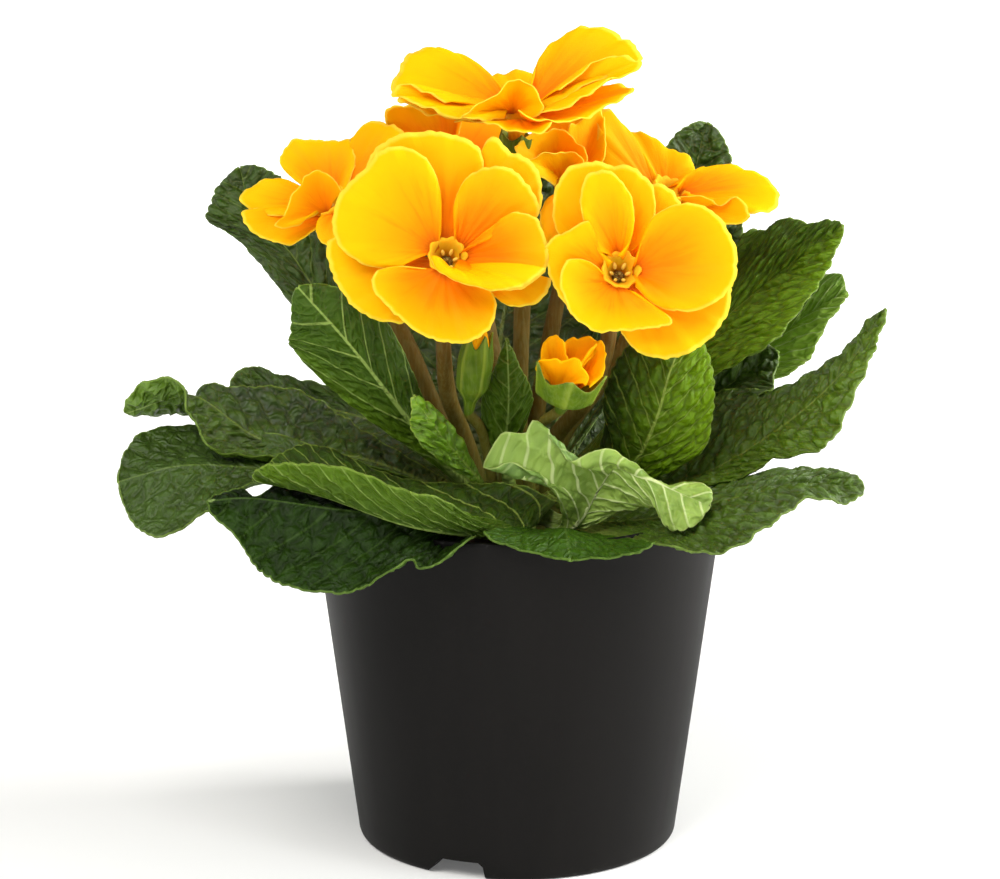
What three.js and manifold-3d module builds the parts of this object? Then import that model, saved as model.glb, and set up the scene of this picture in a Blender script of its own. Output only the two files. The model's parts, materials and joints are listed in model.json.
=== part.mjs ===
// A primrose in flower in its plastic nursery pot. Millimetres, +Z up, the pot stands on z = 0
// and the plant's near side is -Y.
import * as THREE from "three";
import { mergeVertices } from "three/addons/utils/BufferGeometryUtils.js";
import Module from "manifold-3d";

// ---------------------------------------------------------------- sizes
const POT = {
  rimRadius: 52.5, baseRadius: 40.8, height: 91.5, wall: 1.3, foot: 4.6, floor: 1.6, sides: 28,
};
const NOTCH = { at: 250, width: 13, high: 4.6 };
const SOIL = { top: 80 };
const CROWN = { radius: 12.5, low: 73, high: 92 };
// A leaf's width along its run, as shares of its length and of its greatest width.
const LEAF = {
  neck: 0.16, stem: 0.13, broad: 0.64, point: 2.3, taper: 0.62,
  bow: 1.2, tooth: 0.55, rows: 9, columns: 4,
};
const PETAL = { columns: 7, clawAt: 3.1, clawWidth: 1.5, layer: 0.95, thick: 0.7 };
const TUBE = { length: 13 };
const STALK = { radius: 2.3, budRadius: 1.5, foot: 86 };
const CLEAR = 0.32;
// The view from the front that the landmarks below are read in: its middle, how many units an
// object at arm's length 1 spans, the viewer's distance, the height they look down from, in
// degrees, and the point they look at.
const VIEW = { across: 500, down: 439.5, zoom: 4620, reach: 1173, rise: 15, aim: [-4.44, 0, 104] };

// Leaves by what is seen from the front: foot is the turn, height and reach of its foot on the
// crown; mid the midrib from there to the tip; sides gives, at a share of the run, the left and
// the right margin; wave the height, count and start of the ripple of the edge.
const LEAVES = [
  {
    name: "leaf_back_left_tall",
    foot: [128, 88, 9],
    mid: [[352, 345, 22], [292, 255, 34], [252, 208, 40], [240, 168, 45]],
    sides: [[0.78, [216, 226, 40], [300, 196, 36]]],
    wave: [0.8, 3, 0.4], neck: 0.25, broad: 0.78, point: 3.4, taper: 0.5,
  },
  {
    name: "leaf_left_upright",
    foot: [213, 88, 10],
    mid: [[425, 440, -20], [350, 345, -27], [298, 287, -26]],
    sides: [[0.62, [304, 362, -24], [384, 318, -22]]],
    wave: [0.6, 2.5, 1],
  },
  {
    name: "leaf_left_long",
    foot: [185, 86, 9],
    mid: [[375, 462, -8], [262, 440, -13], [190, 395, -15], [126, 412, -12]],
    sides: [[0.56, [300, 392, 4], [222, 453, -26]], [0.9, [160, 412, -6], [168, 381, -18]]],
    wave: [0.9, 3, 0],
  },
  {
    name: "leaf_left_behind",
    foot: [165, 87, 9],
    mid: [[400, 432, 8], [310, 404, 20], [228, 388, 28]],
    sides: [[0.62, [285, 372, 34], [300, 432, 6]]],
    wave: [1, 3, 1.8], stem: 0.35,
  },
  {
    name: "leaf_far_left_round",
    foot: [197, 84, 10],
    mid: [[370, 488, -18], [250, 468, -24], [180, 458, -28], [120, 486, -28]],
    sides: [[0.74, [198, 428, -6], [158, 533, -44]]],
    wave: [0.7, 2, 0.5], neck: 0.42, broad: 0.76, point: 3.0, taper: 0.5,
  },
  {
    name: "leaf_front_left_hanging",
    foot: [222, 84, 10],
    mid: [[442, 520, -42], [330, 508, -52], [212, 512, -52]],
    sides: [
      [0.2, [450, 512, -20], [470, 538, -56]],
      [0.36, [420, 505, -22], [428, 567, -63]],
      [0.6, [310, 502, -32], [322, 598, -62]],
      [0.82, [245, 500, -44], [248, 566, -60]],
    ],
    wave: [0.5, 2, 2.2], neck: 0, stem: 0.4, broad: 0.58, bow: 2, nicks: [[0.44, 1, 0.2, 0.035]],
  },
  {
    name: "leaf_left_trough",
    foot: [285, 86, 9],
    mid: [[530, 534, -30], [412, 524, -55], [320, 494, -51], [254, 480, -44]],
    sides: [
      [0.14, [558, 500, -20], [505, 526, -26]],
      [0.3, [505, 482, -20], [462, 510, -54]],
      [0.5, [425, 484, -28], [410, 490, -63]],
      [0.8, [305, 446, -32], [303, 462, -58]],
    ],
    wave: [0.7, 3.5, 0.6], neck: 0, stem: 0.6,
  },
  {
    name: "leaf_front_pale",
    tone: "pale",
    foot: [296, 86, 9],
    mid: [[574, 524, -28], [598, 488, -34], [618, 466, -39], [644, 478, -43], [710, 511, -48]],
    sides: [
      [0.2, [532, 480, -28], [590, 528, -30]],
      [0.31, [466, 472, -27], [606, 520, -32]],
      [0.42, [522, 424, -30], [622, 514, -36]],
      [0.54, [569, 460, -31], [644, 508, -40]],
      [0.66, [604, 448, -35], [656, 506, -44]],
      [0.76, [648, 478, -39], [656, 510, -46]],
      [0.9, [690, 484, -42], [678, 532, -50]],
    ],
    wave: [0.3, 3, 1], neck: 0, stem: 0.45, broad: 0.6, point: 2.6, taper: 0.5, rows: 16,
  },
  {
    name: "leaf_front_low",
    foot: [272, 82.5, 11],
    mid: [[562, 528, -34], [566, 533, -50], [570, 560, -60]],
    sides: [[0.6, [484, 531, -54], [652, 542, -58]]],
    wave: [0.6, 2, 0],
  },
  {
    name: "leaf_right_low",
    foot: [318, 84, 10],
    mid: [[655, 518, -34], [765, 500, -42], [867, 488, -42]],
    sides: [
      [0.24, [672, 496, -16], [654, 543, -58]],
      [0.48, [735, 472, -20], [716, 551, -58]],
    ],
    wave: [0.9, 3, 2], broad: 0.46, point: 1.7, taper: 0.9,
  },
  {
    name: "leaf_right_long",
    foot: [342, 87, 9],
    mid: [[690, 480, -14], [775, 428, -20], [838, 372, -22], [889, 311, -18]],
    sides: [[0.56, [763, 383, -4], [813, 446, -32]]],
    wave: [0.8, 4, 0.3], neck: 0.26, broad: 0.5, point: 1.6, taper: 1.0,
  },
  {
    name: "leaf_right_upright",
    foot: [320, 88, 10],
    mid: [[626, 470, -20], [660, 405, -27], [690, 335, -24]],
    sides: [[0.56, [598, 400, -18], [713, 418, -20]]],
    wave: [0.7, 3, 1.1], stem: 0.25, broad: 0.56,
  },
  {
    name: "leaf_right_rising",
    foot: [10, 89, 9],
    mid: [[690, 350, 6], [765, 285, 12], [845, 226, 16]],
    sides: [[0.62, [745, 240, 24], [796, 322, 0]]],
    wave: [0.9, 3, 0.9], broad: 0.55, point: 2.0, taper: 0.8,
  },
  {
    name: "leaf_right_back",
    foot: [28, 87, 9],
    mid: [[700, 400, 18], [785, 335, 26], [850, 290, 32]],
    sides: [[0.62, [765, 305, 34], [807, 347, 14]]],
    wave: [0.7, 3, 2.4], broad: 0.55, point: 2.0, taper: 0.8,
  },
  {
    name: "leaf_back_right_tall",
    foot: [70, 89, 9],
    mid: [[620, 330, 26], [682, 215, 40], [706, 123, 46]],
    sides: [[0.74, [655, 170, 40], [740, 185, 42]]],
    wave: [0.8, 3, 0], point: 3.4, taper: 0.5,
  },
  {
    name: "leaf_right_inner",
    foot: [358, 87, 9],
    mid: [[660, 430, 2], [730, 385, 4], [778, 352, 6]],
    sides: [[0.66, [722, 340, 12], [762, 396, -6]]],
    wave: [0.6, 3, 0], point: 3.0,
  },
  {
    name: "leaf_back_right_small",
    foot: [50, 88, 9],
    mid: [[640, 350, 28], [710, 270, 38], [741, 222, 42]],
    sides: [[0.72, [700, 235, 42], [746, 265, 38]]],
    wave: [0.6, 3, 0],
  },
  {
    name: "leaf_young_left",
    tone: "young",
    foot: [240, 90, 10],
    mid: [[470, 470, -22], [440, 435, -31], [413, 397, -33]],
    sides: [[0.6, [424, 448, -35], [452, 428, -25]]],
    wave: [0.4, 4, 0],
  },
  {
    name: "leaf_young_middle",
    tone: "young",
    foot: [262, 91, 10],
    mid: [[512, 450, -20], [515, 400, -24], [506, 341, -24]],
    sides: [[0.6, [488, 392, -21], [535, 395, -22]]],
    wave: [0.3, 3, 0],
  },
];

// The leaves on the far side, in mm.
const FAR_LEAVES = [
  {
    name: "leaf_back_1",
    foot: [58, 84, 10],
    mid: [[22, 34, 96], [40, 58, 101], [52, 74, 92]],
    sides: [[0.64, [24, 66, 103], [54, 46, 99]]],
    wave: [1, 3, 0.2],
  },
  {
    name: "leaf_back_2",
    foot: [90, 84, 10],
    mid: [[-1, 40, 98], [0, 64, 104], [0, 84, 94]],
    sides: [[0.64, [-20, 60, 101], [19, 62, 103]]],
    wave: [1, 3, 1.2],
  },
  {
    name: "leaf_back_3",
    foot: [128, 84, 10],
    mid: [[-26, 32, 97], [-46, 50, 102], [-60, 62, 92]],
    sides: [[0.64, [-60, 36, 99], [-32, 66, 103]]],
    wave: [1, 3, 2.2],
  },
  {
    name: "leaf_back_4",
    foot: [105, 87, 9],
    mid: [[-10, 30, 112], [-18, 46, 130], [-24, 56, 142]],
    sides: [[0.64, [-32, 40, 128], [-2, 50, 132]]],
    wave: [0.8, 3, 0.6],
  },
  {
    name: "leaf_back_5",
    foot: [32, 84, 10],
    mid: [[34, 24, 97], [58, 40, 103], [74, 50, 98]],
    sides: [[0.64, [46, 58, 104], [70, 24, 100]]],
    wave: [1, 3, 1.6],
  },
];

// Blooms: the throat and the way it faces, then each petal by the rim from one side of its claw
// to the other (the third number is how much nearer than the throat), how far it is cupped and
// which layer its claw is in; the stalk runs by its points to its foot on the crown.
const BLOOMS = [
  {
    name: "bloom_front_left",
    at: [447, 258, -35],
    face: [0.05, -0.86, 0.5],
    petals: [
      {
        rim: [
          [441, 225, 1], [440, 190, 4], [428, 160, 6], [405, 146, 6], [382, 149, 6], [363, 170, 5],
          [345, 186, 6], [333, 213, 6], [337, 242, 5], [360, 262, 4], [395, 270, 2],
        ],
        cup: 1.5,
        layer: 0,
      },
      {
        rim: [
          [425, 225, -1], [392, 190, -1], [366, 168, 0], [384, 141, 1], [415, 131, 2], [450, 133, 2],
          [478, 146, 1], [484, 175, 0], [470, 215, -1],
        ],
        cup: -1,
        layer: 1,
      },
      {
        rim: [
          [470, 215, -4], [478, 160, -3], [492, 136, -1], [512, 151, -1], [533, 162, -1],
          [541, 180, -1], [541, 206, -2], [528, 228, -3],
        ],
        cup: -1,
        layer: 2,
      },
      {
        rim: [
          [455, 232, 1], [455, 200, 3], [469, 175, 4], [491, 166, 5], [513, 169, 5], [529, 186, 4],
          [540, 208, 3], [520, 240, 2],
        ],
        cup: 1.5,
        layer: 1,
      },
      {
        rim: [
          [472, 246, 2], [495, 236, 5], [506, 216, 7], [520, 211, 8], [537, 219, 8], [547, 242, 7],
          [548, 264, 7], [530, 284, 9], [504, 290, 10], [478, 279, 10], [452, 272, 8],
        ],
        cup: 1.5,
        layer: 0,
      },
      {
        rim: [
          [470, 268, 0], [484, 287, 1], [500, 300, 2], [514, 306, 2], [533, 304, 2], [547, 293, 1],
          [552, 278, 0],
        ],
        cup: 1,
        layer: 2,
      },
      {
        rim: [
          [425, 268, 2], [392, 266, 4], [374, 273, 6], [374, 290, 7], [392, 310, 8], [418, 332, 8],
          [446, 342, 8], [474, 340, 8], [492, 324, 7], [496, 300, 5], [478, 276, 3],
        ],
        cup: -1.5,
        layer: 0,
      },
      {
        rim: [
          [400, 255, -2], [345, 236, -1], [328, 240, -1], [329, 264, -1], [342, 292, 0], [362, 313, 0],
          [385, 321, 0], [404, 322, 0], [410, 300, -1],
        ],
        cup: -1,
        layer: 1.6,
      },
    ],
    stalk: [[443, 340, -24], [448, 395, -17], [462, 432, -10]],
    foot: [-7.5, -3.5],
  },
  {
    name: "bloom_front_right",
    at: [620, 272, -38],
    face: [0.1, -0.84, 0.53],
    petals: [
      {
        rim: [
          [605, 258, 0], [568, 246, 0], [555, 225, 0], [555, 190, 1], [570, 166, 2], [593, 161, 2],
          [612, 164, 1], [634, 167, 2], [652, 184, 1], [656, 208, 1], [648, 238, 0],
        ],
        cup: -1,
        layer: 2,
      },
      {
        rim: [
          [598, 252, 3], [584, 222, 5], [581, 192, 6], [590, 172, 6], [608, 170, 6], [625, 184, 6],
          [634, 208, 5], [631, 238, 4], [618, 256, 2],
        ],
        cup: 1.5,
        layer: 1,
      },
      {
        rim: [
          [612, 262, 1], [592, 240, 4], [588, 220, 6], [570, 229, 5], [552, 238, 5], [545, 250, 5],
          [549, 272, 4], [560, 296, 4], [575, 312, 4], [598, 290, 2],
        ],
        cup: 1,
        layer: 1,
      },
      {
        rim: [
          [606, 276, 3], [590, 261, 5], [571, 258, 7], [561, 271, 8], [563, 294, 8], [576, 318, 8],
          [598, 331, 8], [622, 330, 8], [648, 328, 8], [673, 322, 8], [660, 309, 6], [636, 292, 3],
        ],
        cup: -1,
        layer: 0,
      },
      {
        rim: [
          [636, 262, 2], [644, 235, 4], [655, 215, 6], [680, 203, 7], [706, 206, 7], [728, 228, 7],
          [738, 258, 7], [733, 284, 7], [710, 305, 7], [682, 311, 7], [655, 304, 5], [636, 286, 3],
        ],
        cup: 1.8,
        layer: 0,
      },
      {
        rim: [
          [625, 300, 1], [622, 332, 2], [640, 352, 2], [664, 358, 2], [690, 352, 2], [715, 333, 1],
          [730, 306, 0], [728, 280, -1], [680, 270, -1],
        ],
        cup: 0.5,
        layer: 1.5,
      },
      {
        rim: [
          [634, 240, -2], [648, 186, -3], [660, 183, -3], [676, 194, -3], [684, 212, -3],
          [676, 240, -2], [648, 262, -1],
        ],
        cup: 0.5,
        layer: 2.6,
      },
    ],
    stalk: [[606, 352, -22], [585, 402, -14], [555, 440, -6]],
    foot: [7, -4.5],
  },
  {
    name: "bloom_top",
    at: [517, 112, -6],
    face: [0.02, -0.05, 1],
    petals: [
      {
        rim: [
          [505, 106, 6], [470, 112, 7], [435, 98, 4], [400, 90, 2], [391, 88, 0], [398, 70, -4],
          [410, 51, -8], [440, 46, -10], [473, 60, -8], [497, 84, -4],
        ],
        cup: 1.5,
        layer: 0,
      },
      {
        rim: [
          [500, 112, 6], [466, 117, 8], [432, 113, 6], [406, 102, 3], [398, 96, 0], [440, 92, -3],
        ],
        cup: 0.5,
        layer: 1.2,
      },
      {
        rim: [
          [512, 110, 6], [490, 116, 12], [466, 113, 14], [488, 95, 14], [510, 79, 12], [527, 79, 12],
          [541, 95, 12], [545, 108, 8], [530, 113, 5],
        ],
        cup: 1,
        layer: 0,
      },
      {
        rim: [
          [505, 116, 4], [454, 118, 8], [482, 120, 12], [510, 128, 15], [537, 131, 16], [552, 122, 14],
          [540, 114, 6],
        ],
        cup: -0.8,
        layer: 1.5,
      },
      {
        rim: [
          [528, 108, 4], [533, 79, -2], [542, 53, -8], [563, 33, -10], [590, 24, -9], [617, 31, -7],
          [634, 43, -4], [643, 56, 0], [632, 67, 4], [608, 74, 6], [575, 90, 7], [548, 110, 7],
        ],
        cup: 1.2,
        layer: 0,
      },
      {
        rim: [
          [530, 114, 5], [552, 118, 9], [580, 117, 9], [606, 105, 7], [634, 89, 4], [630, 84, 1],
          [600, 84, -2], [560, 92, -4],
        ],
        cup: -0.6,
        layer: 1.2,
      },
      {
        rim: [
          [505, 106, -4], [490, 90, -12], [493, 74, -18], [518, 69, -20], [540, 74, -18],
          [545, 95, -10], [532, 108, -4],
        ],
        cup: 1,
        layer: 2,
      },
    ],
    stalk: [[521, 190, 6], [522, 300, 4], [519, 400, 0]],
    foot: [0, 1.5],
  },
  {
    name: "bloom_left",
    at: [333, 205, 2],
    face: [-0.55, -0.42, 0.72],
    petals: [
      {
        rim: [
          [320, 196, 0], [290, 176, -2], [279, 160, -4], [288, 141, -6], [312, 138, -7],
          [333, 140, -7], [348, 138, -7], [354, 160, -4], [345, 190, -1],
        ],
        cup: 1,
        layer: 1,
      },
      {
        rim: [
          [342, 192, -1], [345, 160, -5], [352, 134, -8], [372, 120, -9], [392, 124, -9],
          [404, 134, -9], [388, 160, -6], [362, 190, -2],
        ],
        cup: 1,
        layer: 2,
      },
      {
        rim: [
          [322, 205, 1], [285, 213, 2], [262, 214, 1], [238, 197, 0], [258, 181, -2], [280, 177, -3],
          [300, 188, -2],
        ],
        cup: 0.8,
        layer: 1,
      },
      {
        rim: [
          [326, 212, 2], [310, 232, 3], [290, 243, 4], [262, 237, 4], [243, 222, 3], [241, 210, 2],
          [270, 208, 0], [305, 204, 0],
        ],
        cup: -0.6,
        layer: 2,
      },
      {
        rim: [
          [322, 208, 3], [296, 224, 7], [275, 226, 9], [284, 210, 9], [297, 184, 9], [316, 169, 9],
          [332, 177, 8], [343, 194, 5],
        ],
        cup: 1.2,
        layer: 0,
      },
      {
        rim: [
          [334, 215, 2], [316, 222, 4], [318, 238, 6], [330, 246, 7], [346, 240, 6], [352, 222, 3],
        ],
        cup: 0.8,
        layer: 0.5,
      },
    ],
    stalk: [[372, 262, 4], [410, 350, -2], [446, 430, -4]],
    foot: [-7.5, 3],
  },
  {
    name: "bloom_right",
    at: [668, 194, 2],
    face: [0.42, -0.3, 0.86],
    petals: [
      {
        rim: [
          [650, 186, -1], [634, 158, -4], [615, 130, -7], [628, 131, -9], [648, 131, -9],
          [662, 143, -9], [684, 152, -8], [697, 168, -6], [680, 186, -1],
        ],
        cup: 1,
        layer: 1,
      },
      {
        rim: [
          [652, 190, 1], [628, 160, 1], [605, 118, 0], [606, 108, -2], [625, 126, -4], [645, 160, -3],
          [664, 188, -1],
        ],
        cup: 0.6,
        layer: 2,
      },
      {
        rim: [
          [674, 190, 1], [690, 172, -1], [725, 163, -2], [755, 170, -1], [778, 187, 1], [778, 205, 4],
          [760, 212, 6], [720, 206, 5], [688, 198, 3],
        ],
        cup: 1.2,
        layer: 0,
      },
      {
        rim: [
          [676, 196, 3], [700, 194, 6], [722, 203, 8], [738, 196, 9], [750, 208, 9], [748, 220, 8],
          [718, 221, 7], [690, 212, 5],
        ],
        cup: -0.8,
        layer: 1,
      },
      {
        rim: [
          [664, 200, 4], [676, 216, 7], [664, 232, 8], [640, 232, 8], [632, 214, 6], [648, 200, 3],
        ],
        cup: -0.8,
        layer: 1,
      },
    ],
    stalk: [[655, 270, 10], [610, 370, 8], [560, 440, 4]],
    foot: [7.5, 1.5],
  },
  {
    name: "bloom_half_open",
    at: [568, 184, 10],
    face: [0.15, -0.15, 0.98],
    petals: [
      {
        rim: [
          [556, 184, 4], [540, 170, 7], [524, 160, 6], [516, 147, 4], [532, 134, 4], [552, 127, 5],
          [574, 139, 7], [591, 157, 8], [582, 176, 6],
        ],
        cup: 2,
        layer: 0,
      },
      {
        rim: [
          [562, 184, 0], [556, 150, 1], [560, 124, 0], [584, 116, -1], [600, 107, -2], [606, 135, 0],
          [604, 165, 2], [590, 184, 2],
        ],
        cup: 1.6,
        layer: 1,
      },
      {
        rim: [
          [552, 182, -3], [535, 160, -6], [533, 132, -8], [560, 122, -9], [590, 130, -8],
          [598, 160, -6], [588, 182, -4],
        ],
        cup: 1.6,
        layer: 2,
      },
      {
        rim: [
          [560, 196, 3], [545, 200, 5], [540, 218, 6], [544, 238, 6], [553, 244, 6], [562, 232, 5],
          [566, 205, 3],
        ],
        cup: 0.6,
        layer: 1,
      },
    ],
    stalk: [[566, 240, 12], [550, 340, 8], [536, 420, 3]],
    foot: [4.5, 7],
    eye: false,
  },
  {
    name: "bloom_back",
    at: [452, 165, 26],
    face: [-0.2, 0.72, 0.66],
    petals: [
      {
        rim: [
          [440, 156, 4], [410, 148, 2], [400, 134, 0], [420, 118, -3], [444, 116, -4], [470, 121, -4],
          [508, 130, -2], [500, 146, 1], [468, 158, 3],
        ],
        cup: 1.2,
        layer: 0,
      },
    ],
    hearts: [[35, 25, 23, 12], [110, 26, 24, 16], [180, 25, 24, 10], [250, 25, 22, 14]],
    stalk: [[470, 240, 20], [490, 340, 14], [508, 420, 6]],
    foot: [-3, 7.5],
  },
];

const BUDS = [
  {
    name: "bud_front",
    at: [568, 372, -40],
    axis: [0.22, -0.3, 0.93],
    radius: 7.2,
    tall: 13,
    open: true,
    stalk: [[545, 412, -34], [532, 440, -22]],
    foot: [3, -9],
  },
  {
    name: "bud_left",
    at: [482, 352, -27],
    axis: [0.12, -0.1, 1],
    radius: 4.6,
    tall: 17,
    open: false,
    stalk: [[478, 430, -22]],
    foot: [-5, -8.5],
  },
];

// ---------------------------------------------------------------- helpers
const V = (a) => new THREE.Vector3(a[0], a[1], a[2]);
const clamp = (x, a, b) => Math.min(b, Math.max(a, x));
const smooth = (x) => {
  const t = clamp(x, 0, 1);
  return t * t * (3 - 2 * t);
};

// Where a landmark lies: by where it is seen and its depth behind the pot's axis.
const RISE = (VIEW.rise * Math.PI) / 180;
const AHEAD = new THREE.Vector3(0, Math.cos(RISE), -Math.sin(RISE));
const ABOVE = new THREE.Vector3(0, Math.sin(RISE), Math.cos(RISE));
const VIEWER = V(VIEW.aim).addScaledVector(AHEAD, -VIEW.reach);

function rayTo(across, down) {
  const ray = new THREE.Vector3((across - VIEW.across) / VIEW.zoom, 0, 0).add(AHEAD);
  return ray.addScaledVector(ABOVE, (VIEW.down - down) / VIEW.zoom);
}

function seen([across, down, depth]) {
  const ray = rayTo(across, down);
  return VIEWER.clone().addScaledVector(ray, (depth - VIEWER.y) / ray.y);
}

// The way from a centre to a landmark that is so much nearer to the viewer than the centre.
function seenFrom(centre, [across, down, nearer]) {
  const far = centre.clone().sub(VIEWER).dot(AHEAD) - nearer;
  return VIEWER.clone().addScaledVector(rayTo(across, down), far).sub(centre);
}

// A foot on the crown by its turn, height and reach.
function footOn([turn, height, reach]) {
  const a = (turn * Math.PI) / 180;
  return new THREE.Vector3(reach * Math.cos(a), reach * Math.sin(a), height);
}

// One small repeatable random stream for teeth and waves.
function stream(seed) {
  let s = seed >>> 0;
  return () => {
    s = (s * 1664525 + 1013904223) >>> 0;
    return s / 4294967296;
  };
}

const wasm = await Module();
wasm.setup();

// A closed three.js geometry as a manifold solid.
function solidOf(geometry) {
  const bare = geometry.index ? geometry : geometry.clone();
  bare.deleteAttribute("normal");
  bare.deleteAttribute("uv");
  const merged = mergeVertices(bare, 1e-4);
  return new wasm.Manifold(
    new wasm.Mesh({
      numProp: 3,
      vertProperties: merged.attributes.position.array,
      triVerts: new Uint32Array(merged.index.array),
    }),
  );
}

function join(solids) {
  return solids.reduce((a, b) => a.add(b));
}

// The biggest body of a cut solid, so that no crumb floats beside it.
function biggest(solid) {
  const bodies = solid.decompose();
  return bodies.reduce((a, b) => (b.volume() > a.volume() ? b : a), bodies[0]);
}

function meshOf(name, solid, material) {
  const raw = solid.getMesh();
  const g = new THREE.BufferGeometry();
  g.setAttribute("position", new THREE.BufferAttribute(new Float32Array(raw.vertProperties), 3));
  g.setIndex(new THREE.BufferAttribute(new Uint32Array(raw.triVerts), 1));
  g.computeVertexNormals();
  const mesh = new THREE.Mesh(g, material);
  mesh.name = name;
  return mesh;
}

const paint = (color, roughness) => new THREE.MeshStandardMaterial({ color, roughness, metalness: 0 });

function positions(points) {
  return new THREE.Float32BufferAttribute(points.flatMap((p) => [p.x, p.y, p.z]), 3);
}

// A sheet given by rows of points becomes a closed blade. Both faces carry the same split
// into triangles, so a waved blade keeps its thickness everywhere.
function bladeSolid(rows, thickness, grow = 0) {
  const nr = rows.length;
  const nc = rows[0].length;
  const at = (r, c) => rows[clamp(r, 0, nr - 1)][clamp(c, 0, nc - 1)];
  const top = [];
  const low = [];
  for (let r = 0; r < nr; r++)
    for (let c = 0; c < nc; c++) {
      const along = at(r + 1, c).clone().sub(at(r - 1, c));
      const across = at(r, c + 1).clone().sub(at(r, c - 1));
      const n = across.clone().cross(along).normalize();
      const out = new THREE.Vector3();
      if (grow > 0) {
        const side = c === 0 ? -1 : c === nc - 1 ? 1 : 0;
        const end = r === 0 ? -1 : r === nr - 1 ? 1 : 0;
        if (side) out.addScaledVector(across.normalize(), side * grow);
        if (end) out.addScaledVector(along.normalize(), end * grow);
      }
      const t = thickness(r / (nr - 1), (2 * c) / (nc - 1) - 1);
      const p = at(r, c).clone().add(out);
      top.push(p.clone().addScaledVector(n, t[0] + grow));
      low.push(p.clone().addScaledVector(n, -t[1] - grow));
    }
  const points = top.concat(low);
  const L = top.length;
  const id = (r, c) => r * nc + c;
  const tris = [];
  const quad = (a, b, c, d) => tris.push(a, b, c, a, c, d);
  for (let r = 0; r < nr - 1; r++)
    for (let c = 0; c < nc - 1; c++) {
      const [a, b, d, e] = [id(r, c), id(r, c + 1), id(r + 1, c + 1), id(r + 1, c)];
      const flip = (r + c) % 2 === 0;
      if (flip) {
        tris.push(a, b, d, a, d, e);
        tris.push(a + L, d + L, b + L, a + L, e + L, d + L);
      } else {
        tris.push(a, b, e, b, d, e);
        tris.push(a + L, e + L, b + L, b + L, e + L, d + L);
      }
    }
  for (let r = 0; r < nr - 1; r++) {
    quad(id(r, 0), id(r + 1, 0), id(r + 1, 0) + L, id(r, 0) + L);
    quad(id(r + 1, nc - 1), id(r, nc - 1), id(r, nc - 1) + L, id(r + 1, nc - 1) + L);
  }
  for (let c = 0; c < nc - 1; c++) {
    quad(id(0, c + 1), id(0, c), id(0, c) + L, id(0, c + 1) + L);
    quad(id(nr - 1, c), id(nr - 1, c + 1), id(nr - 1, c + 1) + L, id(nr - 1, c) + L);
  }
  const g = new THREE.BufferGeometry();
  g.setAttribute("position", positions(points));
  g.setIndex(tris);
  return solidOf(g);
}

// A stem swept along points in space, its radius set by a function of the run 0..1.
function stemSolid(points, radius, sides = 8, steps = 10) {
  const curve = new THREE.CatmullRomCurve3(points, false, "centripetal");
  const ring = [];
  let up = new THREE.Vector3(1, 0, 0);
  for (let i = 0; i <= steps; i++) {
    const p = curve.getPointAt(i / steps);
    const t = curve.getTangentAt(i / steps);
    up = up.clone().addScaledVector(t, -up.dot(t)).normalize();
    const side = t.clone().cross(up);
    const r = radius(i / steps);
    for (let k = 0; k < sides; k++) {
      const a = (2 * Math.PI * k) / sides;
      ring.push(p.clone().addScaledVector(up, r * Math.cos(a)).addScaledVector(side, r * Math.sin(a)));
    }
  }
  const first = ring.length;
  ring.push(curve.getPointAt(0), curve.getPointAt(1));
  const tris = [];
  for (let i = 0; i < steps; i++)
    for (let k = 0; k < sides; k++) {
      const [a, b] = [i * sides + k, i * sides + ((k + 1) % sides)];
      tris.push(a, b, b + sides, a, b + sides, a + sides);
    }
  for (let k = 0; k < sides; k++) {
    const k2 = (k + 1) % sides;
    tris.push(first, k2, k, first + 1, steps * sides + k, steps * sides + k2);
  }
  const g = new THREE.BufferGeometry();
  g.setAttribute("position", positions(ring));
  g.setIndex(tris);
  return solidOf(g);
}

// A turned solid about the axis that runs from a point along a direction.
function turnedSolid(profile, sides, origin, axis) {
  const g = new THREE.LatheGeometry(profile.map(([r, z]) => new THREE.Vector2(r, z)), sides);
  const up = new THREE.Vector3(0, 1, 0);
  const turn = new THREE.Quaternion().setFromUnitVectors(up, axis.clone().normalize());
  g.applyQuaternion(turn).translate(origin.x, origin.y, origin.z);
  return solidOf(g);
}

// Rings of equally many points, closed by a point at each end: cups, pips and stalk ends.
function ringSolid(rings, start, end) {
  const k = rings[0].length;
  const points = rings.flat().concat([start, end]);
  const first = rings.length * k;
  const tris = [];
  for (let i = 0; i < rings.length - 1; i++)
    for (let j = 0; j < k; j++) {
      const [a, b] = [i * k + j, i * k + ((j + 1) % k)];
      tris.push(a, b, b + k, a, b + k, a + k);
    }
  const last = (rings.length - 1) * k;
  for (let j = 0; j < k; j++) {
    const j2 = (j + 1) % k;
    tris.push(first, j2, j, first + 1, last + j, last + j2);
  }
  const g = new THREE.BufferGeometry();
  g.setAttribute("position", positions(points));
  g.setIndex(tris);
  return solidOf(g);
}

// ---------------------------------------------------------------- the pot
function potSolid() {
  const { rimRadius: R, baseRadius: B, height: H, wall: w, foot: f, floor: t } = POT;
  const profile = [
    [0, 0], [10, 0], [12.5, f], [32, f], [33.5, 0], [B - 1.6, 0], [B - 0.4, 0.5], [B + 0.1, 1.6],
    [R, H - 2.6], [R, H - 0.4], [R - 0.5, H], [R - w, H],
    [B + 0.1 - w, f + t + 1.6], [B - 1.4 - w, f + t], [13.6, f + t], [11.4, t], [0, t],
  ];
  let pot = turnedSolid(profile, POT.sides, new THREE.Vector3(0, 0, 0), new THREE.Vector3(0, 0, 1));
  for (let i = 0; i < 4; i++) {
    const turn = ((NOTCH.at + 90 * i) * Math.PI) / 180;
    pot = pot.subtract(notchSolid(turn)).subtract(drainSolid(turn + Math.PI / 4));
  }
  return biggest(pot);
}

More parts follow.
